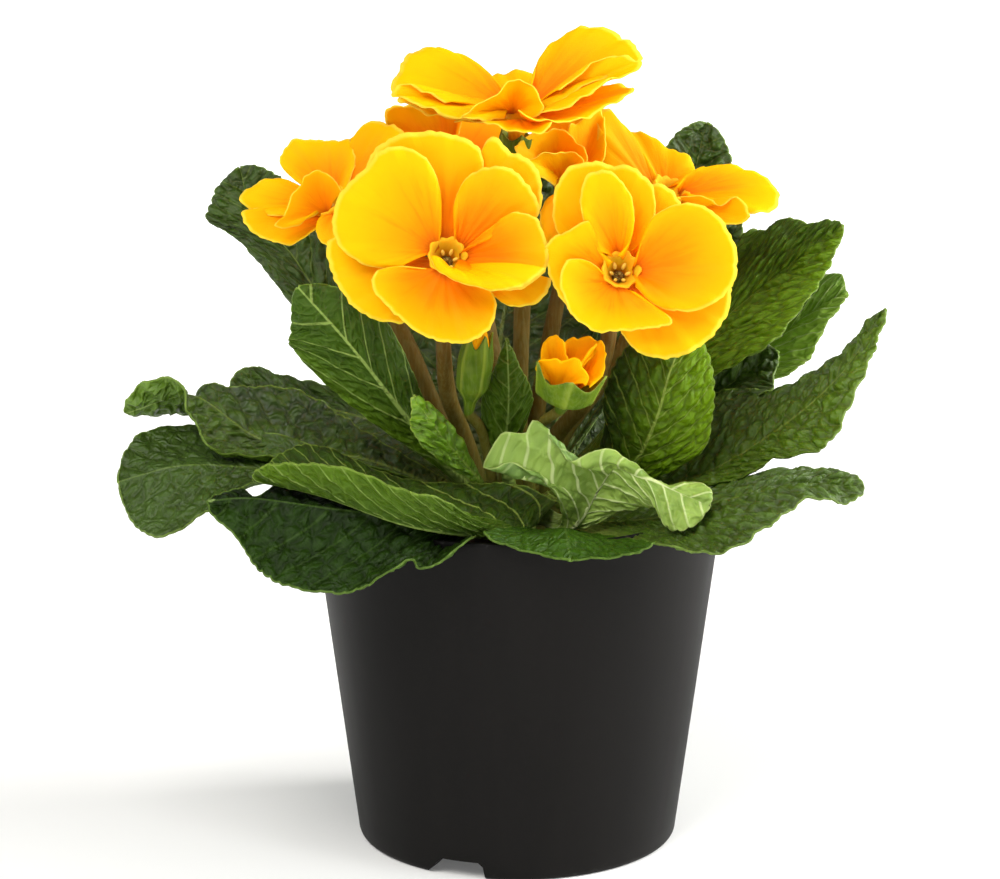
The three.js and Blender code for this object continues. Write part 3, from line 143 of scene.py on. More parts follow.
# Leaves by what is seen from the front: foot is the turn, height and reach of its foot on the
# crown; mid the midrib from there to the tip; sides gives, at a share of the run, the left and
# the right margin; wave the height, count and start of the ripple of the edge; nicks are bites out
# of a margin: where along the run, which side, how deep and how long.
LEAVES = (
    dict(name="leaf_back_left_tall", foot=(128, 88, 9),
        mid=((352, 345, 22), (292, 255, 34), (252, 208, 40), (240, 168, 45)),
        sides=((0.78, (216, 226, 40), (300, 196, 36)),), wave=(0.8, 3, 0.4), neck=0.25, broad=0.78,
        point=3.4, taper=0.5),
    dict(name="leaf_left_upright", foot=(213, 88, 10),
        mid=((425, 440, -20), (350, 345, -27), (298, 287, -26)),
        sides=((0.62, (304, 362, -24), (384, 318, -22)),), wave=(0.6, 2.5, 1)),
    dict(name="leaf_left_long", foot=(185, 86, 9),
        mid=((375, 462, -8), (262, 440, -13), (190, 395, -15), (126, 412, -12)),
        sides=((0.56, (300, 392, 4), (222, 453, -26)), (0.7, (232, 386, -3), (200, 430, -25)),
               (0.79, (202, 386, -5), (187, 411, -23)), (0.83, (190, 411, -5), (182, 385, -21)),
               (0.91, (167, 414, -6), (160, 378, -19)), (0.97, (143, 416, -9), (137, 386, -16))),
        wave=(0.5, 3, 0)),
    dict(name="leaf_left_behind", foot=(165, 87, 9),
        mid=((400, 432, 8), (310, 404, 20), (228, 388, 28)),
        sides=((0.62, (288, 376, 34), (300, 432, 6)), (0.76, (264, 370, 34), (272, 420, 14)),
               (0.87, (246, 367, 33), (250, 405, 22)), (0.95, (232, 378, 31), (236, 396, 26))),
        wave=(0.4, 3, 1.8), stem=0.35),
    dict(name="leaf_far_left_round", foot=(197, 84, 10),
        mid=((370, 488, -18), (250, 468, -24), (180, 466, -28), (118, 482, -28)),
        sides=((0.5, (285, 436, -12), (268, 481, -34)), (0.62, (245, 430, -10), (234, 493, -38)),
               (0.75, (205, 427, -8), (206, 512, -42)), (0.86, (163, 428, -10), (164, 536, -44)),
               (0.94, (132, 441, -16), (134, 524, -38))),
        wave=(0.4, 2, 0.5), neck=0.42, broad=0.8, point=4, taper=0.42),
    dict(name="leaf_front_left_hanging", foot=(222, 84, 10),
        mid=((442, 520, -42), (330, 508, -52), (248, 498, -52), (207, 501, -50)),
        sides=((0.2, (450, 512, -20), (468, 540, -56)), (0.32, (425, 506, -22), (430, 567, -62)),
               (0.44, (395, 500, -26), (395, 569, -64)), (0.55, (350, 490, -30), (355, 592, -64)),
               (0.66, (312, 483, -34), (308, 591, -64)), (0.78, (277, 484, -40), (268, 577, -62)),
               (0.845, (257, 497, -43), (251, 560, -59)), (0.91, (238, 488, -46), (236, 537, -55))),
        wave=(0.4, 2, 2.2), neck=0, stem=0.4, broad=0.6, bow=2, nicks=((0.4, 1, 0.16, 0.03),)),
    dict(name="leaf_left_trough", foot=(285, 86, 9),
        mid=((530, 534, -30), (412, 524, -55), (320, 494, -51), (254, 480, -44)),
        sides=((0.14, (558, 500, -20), (505, 526, -26)), (0.3, (505, 482, -20), (462, 510, -54)),
               (0.5, (425, 484, -28), (410, 490, -63)), (0.8, (305, 446, -32), (303, 462, -58))),
        wave=(0.7, 3.5, 0.6), neck=0, stem=0.6),
    dict(name="leaf_front_pale", foot=(296, 86, 9),
        mid=((574, 524, -28), (600, 488, -34), (618, 466, -39), (644, 478, -43), (710, 506, -48)),
        sides=((0.13, (568, 516, -27), (584, 528, -30)), (0.21, (566, 510, -29), (594, 522, -31)),
               (0.28, (562, 502, -31), (604, 518, -32)), (0.34, (556, 493, -34), (612, 513, -33)),
               (0.39, (546, 482, -37), (619, 511, -34)), (0.43, (532, 471, -39), (625, 510, -35)),
               (0.46, (509, 463, -40), (630, 509, -36)), (0.485, (483, 468, -40), (634, 509, -37)),
               (0.51, (503, 433, -40), (638, 508, -38)), (0.535, (524, 435, -40), (641, 508, -38)),
               (0.555, (533, 420, -40), (644, 507, -39)), (0.58, (550, 437, -40), (648, 506, -40)),
               (0.605, (569, 460, -41), (650, 506, -41)), (0.65, (602, 448, -40), (653, 506, -42)),
               (0.72, (634, 463, -40), (658, 508, -45)), (0.8, (662, 488, -41), (660, 518, -47)),
               (0.87, (686, 482, -43), (670, 529, -49)), (0.95, (709, 488, -46), (690, 528, -50))),
        wave=(0.3, 3, 1), neck=0, stem=0.45, broad=0.6, point=2.6, taper=0.5),
    dict(name="leaf_front_low", foot=(272, 82.5, 11),
        mid=((562, 528, -34), (566, 533, -50), (570, 560, -60)),
        sides=((0.6, (484, 531, -54), (653, 543, -58)), (0.74, (500, 543, -57), (640, 552, -60)),
               (0.87, (523, 551, -60), (616, 557, -61))), wave=(0.4, 2, 0)),
    dict(name="leaf_right_low", foot=(318, 84, 10),
        mid=((655, 518, -34), (740, 497, -42), (808, 484, -42), (864, 489, -42)),
        sides=((0.2, (680, 498, -16), (662, 545, -56)), (0.36, (720, 485, -18), (704, 552, -60)),
               (0.5, (757, 474, -22), (740, 547, -60)), (0.64, (789, 470, -28), (772, 523, -56)),
               (0.79, (824, 469, -34), (808, 499, -50)), (0.92, (850, 474, -38), (846, 504, -46))),
        wave=(0.6, 3, 2), broad=0.6, point=3, taper=0.5),
    dict(name="leaf_right_long", foot=(342, 87, 9),
        mid=((690, 480, -14), (778, 430, -20), (840, 376, -22), (886, 310, -18)),
        sides=((0.28, (700, 402, 2), (735, 480, -28)), (0.42, (738, 388, -2), (768, 462, -30)),
               (0.56, (774, 391, -6), (802, 454, -34)), (0.69, (812, 371, -10), (834, 439, -34)),
               (0.82, (846, 350, -14), (857, 388, -30)), (0.93, (868, 320, -16), (881, 333, -22))),
        wave=(0.5, 4, 0.3), neck=0.2, broad=0.56, point=2, taper=0.8),
    dict(name="leaf_right_upright", foot=(320, 88, 10),
        mid=((628, 470, -20), (656, 420, -26), (670, 372, -27), (688, 330, -24)),
        sides=((0.4, (604, 430, -18), (698, 455, -22)), (0.56, (604, 396, -18), (712, 418, -20)),
               (0.72, (620, 356, -20), (713, 376, -20)), (0.88, (646, 334, -22), (704, 345, -21))),
        wave=(0.4, 3, 1.1), stem=0.25, broad=0.56),
    dict(name="leaf_right_rising", foot=(10, 89, 9),
        mid=((690, 350, 6), (765, 285, 12), (843, 226, 16)),
        sides=((0.42, (742, 238, 24), (765, 346, -4)), (0.52, (766, 230, 24), (786, 328, 0)),
               (0.64, (781, 219, 22), (806, 303, 3)), (0.8, (812, 223, 20), (827, 270, 8)),
               (0.92, (832, 220, 18), (839, 245, 13))),
        wave=(0.5, 3, 0.9), broad=0.58, point=2.4, taper=0.6),
    dict(name="leaf_right_back", foot=(28, 87, 9),
        mid=((700, 400, 18), (772, 345, 26), (818, 309, 30), (847, 293, 32)),
        sides=((0.5, (768, 318, 34), (777, 380, 14)), (0.68, (800, 292, 36), (808, 359, 16)),
               (0.82, (822, 275, 36), (826, 326, 22)), (0.93, (842, 276, 34), (843, 303, 28))),
        wave=(0.3, 3, 2.4), broad=0.62, point=3, taper=0.5),
    dict(name="leaf_back_right_tall", foot=(70, 89, 9),
        mid=((620, 330, 26), (682, 215, 40), (706, 123, 46)),
        sides=((0.74, (655, 170, 40), (740, 185, 42)),), wave=(0.8, 3, 0), point=3.4, taper=0.5),
    dict(name="leaf_right_inner", foot=(358, 87, 9), mid=((660, 430, 2), (730, 385, 4), (778, 352, 6)),
        sides=((0.66, (722, 340, 12), (762, 396, -6)),), wave=(0.6, 3, 0), point=3),
    dict(name="leaf_back_right_small", foot=(50, 88, 9),
        mid=((640, 350, 28), (710, 270, 38), (741, 222, 42)),
        sides=((0.72, (700, 235, 42), (746, 265, 38)),), wave=(0.6, 3, 0)),
    dict(name="leaf_young_left", foot=(240, 90, 10),
        mid=((470, 470, -22), (440, 435, -31), (413, 397, -33)),
        sides=((0.6, (424, 448, -35), (452, 428, -25)),), wave=(0.4, 4, 0)),
    dict(name="leaf_young_middle", foot=(262, 91, 10),
        mid=((506, 450, -20), (509, 400, -24), (507, 338, -24)),
        sides=((0.5, (482, 402, -21), (532, 402, -22)),), wave=(0.3, 3, 0), broad=0.5, point=1.5,
        taper=0.95),
    dict(name="leaf_back_4", foot=(88, 87, 9), mid=((500, 350, 24), (516, 260, 36), (534, 162, 44)),
        sides=((0.3, (425, 392, 20), (575, 380, 18)), (0.5, (380, 322, 30), (614, 318, 28)),
               (0.72, (440, 240, 38), (592, 240, 38)), (0.9, (500, 186, 43), (562, 186, 43))),
        wave=(0.6, 3, 0.6), stem=0.3),
)

# Leaves on the far side, in mm.
FAR_LEAVES = (
    dict(name="leaf_back_1", foot=(58, 84, 10), mid=((22, 34, 96), (40, 58, 101), (52, 74, 92)),
        sides=((0.64, (24, 66, 103), (54, 46, 99)),), wave=(1, 3, 0.2)),
    dict(name="leaf_back_2", foot=(90, 84, 10), mid=((-1, 40, 98), (0, 64, 104), (0, 84, 94)),
        sides=((0.64, (-20, 60, 101), (19, 62, 103)),), wave=(1, 3, 1.2)),
    dict(name="leaf_back_3", foot=(128, 84, 10), mid=((-26, 32, 97), (-46, 50, 102), (-60, 62, 92)),
        sides=((0.64, (-60, 36, 99), (-32, 66, 103)),), wave=(1, 3, 2.2)),
    dict(name="leaf_back_5", foot=(32, 84, 10), mid=((34, 24, 97), (58, 40, 103), (74, 50, 98)),
        sides=((0.64, (46, 58, 104), (70, 24, 100)),), wave=(1, 3, 1.6)),
)

# Blooms: where the throat is seen, what it faces, then each petal's cup in mm, whether it lies over
# (0) or under (1) its neighbours, and its rim as seen from the front with how much nearer than the
# throat each landmark is. hearts are plain petals: turn, length, width and lift in degrees. ring is
# the size of the throat's ring and eye says whether the anthers show. stalk is as seen from the
# front, and foot is where it meets the crown in mm.
BLOOMS = (
    dict(
        name="bloom_front_left", at=(447, 258, -35), face=(0.05, -0.86, 0.5),
        petals=(
            (1.5, 0, ((441, 225, 1), (440, 190, 4), (428, 160, 6), (405, 146, 6), (382, 149, 6),
                (363, 170, 5), (345, 186, 6), (333, 213, 6), (337, 242, 5), (360, 262, 4),
                (395, 270, 2))),
            (-1, 1, ((425, 225, -1), (392, 190, -1), (366, 168, 0), (384, 141, 1), (415, 131, 2),
                (450, 133, 2), (478, 146, 1), (484, 175, 0), (470, 215, -1))),
            (-1, 2, ((470, 215, -4), (478, 160, -3), (492, 136, -1), (512, 151, -1), (533, 162, -1),
                (541, 180, -1), (541, 206, -2), (528, 228, -3))),
            (1.5, 1, ((455, 232, 1), (455, 200, 3), (469, 175, 4), (491, 166, 5), (513, 169, 5),
                (529, 186, 4), (540, 208, 3), (520, 240, 2))),
            (1.5, 0, ((472, 246, 2), (495, 236, 5), (506, 216, 7), (520, 211, 8), (537, 219, 8),
                (547, 242, 7), (548, 264, 7), (530, 284, 9), (504, 290, 10), (478, 279, 10),
                (452, 272, 8))),
            (1, 2, ((470, 268, 0), (484, 287, 1), (500, 300, 2), (514, 306, 2), (533, 304, 2),
                (547, 293, 1), (552, 278, 0))),
            (-1.5, 0, ((425, 268, 2), (392, 266, 4), (374, 273, 6), (374, 290, 7), (392, 310, 8),
                (418, 332, 8), (446, 342, 8), (474, 340, 8), (492, 324, 7), (496, 300, 5),
                (478, 276, 3))),
            (-1, 1.6, ((400, 255, -2), (345, 236, -1), (328, 240, -1), (329, 264, -1), (342, 292, 0),
                (362, 313, 0), (385, 321, 0), (404, 322, 0), (410, 300, -1))),
            (3.2, -0.8, ((430, 256, 9), (438, 270, 11), (458, 281, 13), (478, 287, 14),
                (496, 290, 14.5), (517, 287, 14), (533, 279, 12.5), (546, 268, 10))),
        ),
        stalk=((443, 340, -24), (448, 395, -17), (462, 432, -10)), foot=(-7.5, -3.5),
    ),
    dict(
        name="bloom_front_right", at=(620, 272, -38), face=(0.1, -0.84, 0.53),
        petals=(
            (-1, 2, ((605, 258, 0), (568, 246, 0), (555, 225, 0), (555, 190, 1), (570, 166, 2),
                (593, 161, 2), (612, 164, 1), (634, 167, 2), (652, 184, 1), (656, 208, 1),
                (648, 238, 0))),
            (1.5, 1, ((598, 252, 3), (584, 222, 5), (581, 192, 6), (590, 172, 6), (608, 170, 6),
                (625, 184, 6), (634, 208, 5), (631, 238, 4), (618, 256, 2))),
            (1, 1, ((612, 262, 1), (592, 240, 4), (588, 220, 6), (570, 229, 5), (552, 238, 5),
                (545, 250, 5), (549, 272, 4), (560, 296, 4), (575, 312, 4), (598, 290, 2))),
            (-1, 0, ((606, 276, 3), (590, 261, 5), (571, 258, 7), (561, 271, 8), (563, 294, 8),
                (576, 318, 8), (598, 331, 8), (622, 330, 8), (648, 328, 8), (673, 322, 8),
                (660, 309, 6), (636, 292, 3))),
            (1.8, 0, ((636, 262, 2), (644, 235, 4), (655, 215, 6), (680, 203, 7), (706, 206, 7),
                (728, 228, 7), (738, 258, 7), (733, 284, 7), (710, 305, 7), (682, 311, 7),
                (655, 304, 5), (636, 286, 3))),
            (0.5, 1.5, ((625, 300, 1), (622, 332, 2), (640, 352, 2), (664, 358, 2), (690, 352, 2),
                (715, 333, 1), (730, 306, 0), (728, 280, -1), (680, 270, -1))),
            (0.5, 2.6, ((634, 240, -2), (648, 186, -3), (660, 183, -3), (676, 194, -3), (684, 212, -3),
                (676, 240, -2), (648, 262, -1))),
        ),
        stalk=((606, 352, -22), (585, 402, -14), (555, 440, -6)), foot=(7, -4.5),
    ),
    dict(
        name="bloom_top", at=(517, 112, -6), face=(0.02, -0.05, 1),
        petals=(
            (1.5, 0, ((505, 106, 6), (470, 112, 7), (435, 98, 4), (400, 90, 2), (391, 88, 0),
                (398, 70, -4), (410, 51, -8), (440, 46, -10), (473, 60, -8), (497, 84, -4))),
            (0.5, 1.2, ((500, 112, 6), (466, 117, 8), (432, 113, 6), (406, 102, 3), (398, 96, 0),
                (440, 92, -3))),
            (1, 0, ((505, 117, 7), (484, 118, 12), (461, 115, 14), (476, 104, 14), (496, 92, 13),
                (510, 80, 13), (520, 77, 12), (530, 82, 12), (538, 93, 12), (544, 104, 11),
                (538, 114, 9), (528, 118, 7))),
            (-0.8, 1.5, ((505, 116, 4), (454, 118, 8), (482, 120, 12), (510, 128, 15), (537, 131, 16),
                (552, 122, 14), (540, 114, 6))),
            (1.2, 0, ((528, 108, 4), (533, 79, -2), (542, 53, -8), (563, 33, -10), (590, 24, -9),
                (617, 31, -7), (634, 43, -4), (643, 56, 0), (632, 67, 4), (608, 74, 6), (575, 90, 7),
                (548, 110, 7))),
            (-0.6, 1.2, ((518, 108, 13), (528, 115, 14), (545, 119, 14), (564, 119, 12), (584, 117, 10),
                (606, 105, 7), (634, 89, 4), (630, 84, 1), (600, 84, -2), (560, 92, -4))),
            (1, 2, ((505, 106, -4), (490, 90, -12), (493, 74, -18), (518, 69, -20), (540, 74, -18),
                (545, 95, -10), (532, 108, -4))),
            (0.5, 0.2, ((540, 111, 10), (568, 105, 11), (589, 92, 11), (612, 77, 10), (638, 68, 9),
                (643, 60, 8), (634, 56, 8), (612, 54, 7), (600, 57, 7), (582, 71, 7), (560, 88, 8))),
            (0.5, 0.2, ((484, 117, 11), (458, 117, 12), (432, 108, 11), (409, 99, 9), (392, 93, 7),
                (397, 84, 6), (408, 83, 7), (424, 89, 8), (445, 101, 9))),
        ),
        ring=0.8, stalk=((521, 190, 6), (522, 300, 4), (519, 400, 0)), foot=(0, 1.5),
    ),
    dict(
        name="bloom_left", at=(333, 205, 2), face=(-0.55, -0.42, 0.72),
        petals=(
            (1, 1, ((320, 196, 0), (290, 176, -2), (279, 160, -4), (288, 141, -6), (312, 138, -7),
                (333, 140, -7), (348, 138, -7), (354, 160, -4), (345, 190, -1))),
            (1, 2, ((342, 192, -1), (345, 160, -5), (352, 134, -8), (372, 120, -9), (392, 124, -9),
                (404, 134, -9), (388, 160, -6), (362, 190, -2))),
            (0.8, 1, ((322, 205, 1), (285, 213, 2), (262, 214, 1), (238, 197, 0), (258, 181, -2),
                (280, 177, -3), (300, 188, -2))),
            (-0.6, 2, ((326, 212, 2), (310, 232, 3), (290, 243, 4), (262, 237, 4), (243, 222, 3),
                (241, 210, 2), (270, 208, 0), (305, 204, 0))),
            (1.2, 0, ((322, 208, 3), (296, 224, 7), (275, 226, 9), (284, 210, 9), (297, 184, 9),
                (316, 169, 9), (332, 177, 8), (343, 194, 5))),
            (0.8, 0.5, ((334, 215, 2), (316, 222, 4), (318, 238, 6), (330, 246, 7), (346, 240, 6),
                (352, 222, 3))),
        ),
        stalk=((372, 262, 4), (410, 350, -2), (446, 430, -4)), foot=(-7.5, 3),
    ),
    dict(
        name="bloom_right", at=(668, 194, 2), face=(0.42, -0.3, 0.86),
        petals=(
            (1, 1, ((650, 186, -1), (634, 158, -4), (615, 130, -7), (628, 131, -9), (648, 131, -9),
                (662, 143, -9), (684, 152, -8), (697, 168, -6), (680, 186, -1))),
            (0.6, 2, ((650, 192, 1), (612, 180, 1), (600, 150, 1), (598, 122, 0), (603, 107, -2),
                (622, 120, -4), (642, 150, -3), (664, 188, -1))),
            (1.2, 0, ((674, 190, 1), (690, 172, -1), (725, 163, -2), (755, 170, -1), (778, 187, 1),
                (778, 205, 4), (760, 212, 6), (720, 206, 5), (688, 198, 3))),
            (-0.8, 1, ((676, 196, 3), (700, 194, 6), (722, 203, 8), (738, 196, 9), (750, 208, 9),
                (748, 220, 8), (718, 221, 7), (690, 212, 5))),
            (-0.8, 1, ((664, 200, 4), (676, 216, 7), (664, 232, 8), (640, 232, 8), (632, 214, 6),
                (648, 200, 3))),
        ),
        stalk=((655, 270, 10), (610, 370, 8), (560, 440, 4)), foot=(7.5, 1.5),
    ),
    dict(
        name="bloom_half_open", at=(568, 184, 2), face=(0.15, -0.15, 0.98),
        petals=(
            (1.4, 0, ((550, 180, 7), (538, 170, 13), (523, 158, 17), (515, 148, 17), (524, 136, 15),
                (542, 129, 12), (556, 127, 10), (568, 131, 10), (580, 142, 10), (588, 156, 9),
                (580, 172, 7))),
            (1.2, 1, ((562, 184, 0), (566, 150, 2), (570, 124, 2), (582, 117, 1), (592, 109, 0),
                (600, 104, -1), (606, 130, 0), (604, 160, 2), (590, 184, 3))),
            (1.6, 2, ((552, 182, -3), (538, 160, -6), (538, 126, -8), (562, 110, -9), (590, 106, -8),
                (602, 130, -7), (598, 160, -6), (588, 182, -4))),
            (0.6, 1, ((560, 196, 3), (545, 200, 5), (540, 218, 6), (544, 238, 6), (553, 244, 6),
                (562, 232, 5), (566, 205, 3))),
            (1.5, -0.6, ((555, 184, 9), (538, 172, 15), (526, 160, 19), (536, 154, 18), (552, 151, 16),
                (568, 151, 13), (584, 157, 12), (580, 172, 11), (570, 184, 9))),
        ),
        stalk=((566, 240, 8), (550, 340, 8), (536, 420, 3)), foot=(4.5, 7), eye=False,
    ),
    dict(
        name="bloom_back", at=(452, 165, 26), face=(-0.2, 0.72, 0.66),
        petals=(
            (1.2, 0, ((440, 156, 4), (416, 149, 2), (408, 138, 0), (423, 121, -3), (446, 110, -4),
                (474, 108, -5), (508, 118, -4), (512, 136, -1), (500, 150, 1), (468, 158, 3))),
        ),
        hearts=((35, 25, 23, 12), (110, 26, 24, 16), (180, 25, 24, 10), (250, 25, 22, 14)),
        stalk=((470, 240, 20), (490, 340, 14), (508, 420, 6)), foot=(-3, 7.5),
    ),
)

# Buds: where the middle is seen, its axis, radius and height. Of the calyx: how far up the bud it
# rises, how deep it is, how far it closes, the length of its teeth and its turn in degrees. petals
# are seen petals as in the blooms, from the foot of the bud.
BUDS = (
    dict(name="bud_front", at=(570, 372, -37), axis=(0.22, -0.3, 0.93), radius=7.7, tall=13,
        rise=0.12, deep=10.8, close=0.0, tooth=2.4, twist=-21,
        petals=(
            (1.4, 0, ((539, 378, 5), (537, 361, 6.5), (550, 358.5, 9), (566, 358, 10), (577, 358, 10.5),
                (584, 367, 10.5), (589, 376, 10), (586, 384, 9.5))),
            (0.8, 1, ((541, 374, 3), (541, 356, 3), (543, 344, 3), (549, 335, 2.5), (556, 332, 2.5),
                (562, 339, 3), (567, 352, 4), (570, 362, 5))),
            (0.8, 2, ((564, 366, 3), (564, 344, 1), (568, 338, 0), (577, 335, 0), (590, 336, 0.5),
                (598, 340, 1), (595, 350, 3), (583, 364, 5))),
            (1.2, 0.5, ((576, 374, 7), (584, 358, 6), (596, 343, 4), (600, 338, 3), (604, 342, 3),
                (606, 356, 4), (603, 374, 6), (590, 386, 8))),
        ),
        stalk=((542, 423, -28), (531, 450, -15)), foot=(3, -9)),
    dict(name="bud_left", at=(476, 354, -27), axis=(0.12, -0.1, 1), radius=4.3, tall=17.5,
        rise=0.27, deep=18, close=0.3, tooth=3, twist=12, stalk=((481, 430, -22),), foot=(-5, -8.5)),
)

# How each leaf differs: which side the front view shows, its skin (tone), how much painted light
# lies on it (base, change across, change along: one side or one end painted lighter or darker as
# the light falls on it), how clearly pale veins show on it (side veins, net) and how far they fade
# to the margin, how deep the blisters are (quilt), the distance of the side veins (spacing), the
# length of the teeth on its margin (tooth), the height of its finer ruffle, and how fine its mesh
# is.
LEAF_LOOK = {
    "leaf_back_left_tall": dict(quilt=1.2),
    "leaf_left_upright": dict(shows="under", tone="back", painted_light=(0.05, -0.2, -0.6), veins=(0.85, 0.06),
                              quilt=0.5, spacing=12.0),
    "leaf_left_long": dict(shows="upper", painted_light=(0.08, 0.1, 0.1), veins=(0.1, 0.05), quilt=1.3),
    "leaf_left_behind": dict(veins=(0.1, 0.05), quilt=1.2),
    "leaf_far_left_round": dict(shows="upper", tone="smooth", painted_light=(0.12, 0, 0), veins=(0.1, 0.0),
                                quilt=0.45, ruffle=0.3),
    "leaf_front_left_hanging": dict(shows="upper", tone="deep", painted_light=(0.02, 0.12, 0), quilt=1.2,
                                    veins=(0.22, 0.0), spacing=11.0, ruffle=0.25),
    "leaf_left_trough": dict(tone="back", painted_light=(0.02, 0.2, 0.15), veins=(0.9, 0.08), quilt=0.8,
                             spacing=8.0, ruffle=0.2),
    "leaf_front_pale": dict(shows="under", tone="pale", painted_light=(0.0, 0.25, -0.2), spacing=5.2,
                            veins=(0.75, 0.0), fade=0.6, quilt=0.65, fine=2, ruffle=0.5),
    "leaf_front_low": dict(shows="upper", tone="deep", painted_light=(0.5, 0, 0), veins=(0.2, 0.0), quilt=0.4,
                           ruffle=0.25),
    "leaf_right_low": dict(shows="upper", painted_light=(0.14, 0, 0), veins=(0.12, 0.06), quilt=1.1),
    "leaf_right_long": dict(shows="upper", painted_light=(0.26, 0.1, 0), veins=(0.2, 0.05), quilt=1.1),
    "leaf_right_upright": dict(shows="upper", tone="back", painted_light=(0.4, 0.45, 0), veins=(0.8, 0.05),
                               tooth=3.4, quilt=0.9, ruffle=0.2),
    "leaf_right_rising": dict(shows="upper", tone="back", painted_light=(0.36, 0.2, -0.2), veins=(0.25, 0.06),
                              quilt=1.1, tooth=3.2),
    "leaf_right_back": dict(shows="under", tone="lit", painted_light=(0.5, 0.7, 0), veins=(0.7, 0.1),
                            quilt=0.6),
    "leaf_back_right_tall": dict(veins=(0.2, 0.1), quilt=1.3),
    "leaf_right_inner": dict(veins=(0.2, 0.1), quilt=1.2),
    "leaf_back_right_small": dict(veins=(0.2, 0.1)),
    "leaf_young_left": dict(shows="upper", tone="young", painted_light=(0.2, 0, 0), quilt=1.5, spacing=5.0,
                            veins=(0.2, 0.1), tooth=2.0),
    "leaf_young_middle": dict(shows="under", tone="back", painted_light=(0.15, 0, 0), quilt=0.6, spacing=7.0,
                              veins=(0.45, 0.1), tooth=2.2),
    "leaf_back_4": dict(painted_light=(0, 0, 0), veins=(0.2, 0.05)),
}
# Leaf skins: dark to light between the veins, in random patches and as a painted highlight on the
# blister tops; a bright green laid on as painted light where light comes through; shade, the
# painted shade in the valleys; and the same for the under side. deep is a darker copy for leaves
# that lie in shade, painted shade, and lit a lighter copy for a leaf lit through from behind,
# painted light. What a skin leaves out is as in the first.
TONES = {
    "leaf": dict(dark="#22320A", light="#3E5A0E", painted_light="#7AA008", shade="#0A1202", vein="#8CA044",
                 under="#3C5610", under_light="#54741A", under_vein="#98AE5A", petiole="#8A9A44",
                 edge="#7E9A38"),
    "back": dict(under="#2C4408", under_light="#42600F", under_vein="#8CA450", edge="#86A040"),
    "lit": dict(dark="#4E6A20", light="#6A8A30", painted_light="#8EAE3C", shade="#2A3C10", vein="#B4C478",
                under="#587A22", under_light="#769638", under_vein="#C4D090", edge="#9AB25C"),
    "smooth": dict(dark="#26360E", light="#3C5618", painted_light="#6A8E1C", shade="#121C06",
                   vein="#7C9444"),
    # deep: a darker copy of the skin, painted shade for the leaves that lie in shade low at the front.
    "deep": dict(dark="#132105", light="#223A08", painted_light="#42690A", shade="#070D02", vein="#506C2C",
                 under="#2C4410", under_light="#416018", under_vein="#7C9450", petiole="#8C9C54",
                 edge="#6E8C38"),
    "pale": dict(dark="#5E7E34", light="#7C9A46", painted_light="#9AB250", shade="#3C541E", vein="#B0C07C",
                 under="#728E38", under_light="#9AB652", under_vein="#CCD898", petiole="#B0C070",
                 edge="#A8BA6A"),
    "young": dict(dark="#44700A", light="#6C9C0E", painted_light="#94B422", shade="#1E3A03", vein="#AEC25C",
                  under="#6A8E2E", under_light="#86A840", under_vein="#C0CE88", petiole="#B8C47E",
                  edge="#9EB844"),
}
# How bold the side veins are, how glossy the skin is, how much light comes through, how much
# painted shade darkens the valleys and how strong the fine relief is, by tone.
SKIN = dict(bold=1.0, gloss=0.42, through=0.12, valley=0.4, grained=0.75)
SKINS = {
    "pale": dict(bold=1.6, gloss=0.3, grained=0.4),
    "back": dict(gloss=0.14),
    "deep": dict(gloss=0.15, valley=0.25),
    "lit": dict(gloss=0.12, through=0.4),
    "smooth": dict(gloss=0.4, valley=0.15),
}
# The slot of a leaf skin, where it isn't the one of most leaves.
SLOT_OF = {"young": "leaf_young", "pale": "leaf_pale"}
# How much orange each petal of a bloom keeps: partly the petal's own colour, partly painted light,
# for a lower value makes a petal yellower and lighter, and on the half-open bloom, which lies in
# shade under the top bloom, lower values make up for that shade.
WARMTH = {
    "bloom_front_left": (0.5, 0.6, 0.55, 1.0, 1.15, 0.9, 0.95, 0.5, -0.45),
    "bloom_front_right": (0.4, 0.5, 0.4, 0.5, 0.9, 0.75, 0.6),
    "bloom_top": (0.5, 0.75, 0.2, 0.6, 0.6, 0.6, 0.7, 0.2, 0.2),
    "bloom_left": (0.65, 0.75, 0.35, 0.75, 0.7, 0.7),
    "bloom_right": (0.45, 0.55, 0.5, 0.7, 0.8),
    "bloom_half_open": (0.3, 0.6, 0.8, 1.1, 0.15),
    "bloom_back": (1.0, 0.9, 1.0, 0.9, 1.0),
}


# ---------------------------------------------------------------- measures and runs
def unit(v):
    """Vectors of length one along the last axis."""
    return v / np.maximum(np.linalg.norm(v, axis=-1, keepdims=True), 1e-9)


def smooth(x):
    """From 0 to 1 with a soft start and end."""
    t = np.clip(x, 0.0, 1.0)
    return t * t * (3 - 2 * t)


RISE = math.radians(VIEW["rise"])
AHEAD = np.array((0.0, math.cos(RISE), -math.sin(RISE)))
ABOVE = np.array((0.0, math.sin(RISE), math.cos(RISE)))
VIEWER = np.array(VIEW["aim"], float) - VIEW["reach"] * AHEAD


def ray_to(across, down):
    """The way the viewer looks to see a place in the front view."""
    aside = np.array(((across - VIEW["across"]) / VIEW["zoom"], 0.0, 0.0))
    return aside + AHEAD + ABOVE * ((VIEW["down"] - down) / VIEW["zoom"])


def seen(mark):
    """A landmark's place by where it is seen and its depth behind the pot's axis."""
    ray = ray_to(mark[0], mark[1])
    return VIEWER + ray * ((mark[2] - VIEWER[1]) / ray[1])


def seen_from(centre, mark):
    """The way from a centre to a landmark that is so much nearer than the centre."""
    far = (centre - VIEWER) @ AHEAD - mark[2]
    return VIEWER + ray_to(mark[0], mark[1]) * far - centre


def foot_on(foot):
    """The place on the crown at a turn in degrees, a height and a reach."""
    turn, height, reach = foot
    a = math.radians(turn)
    return np.array((reach * math.cos(a), reach * math.sin(a), height))


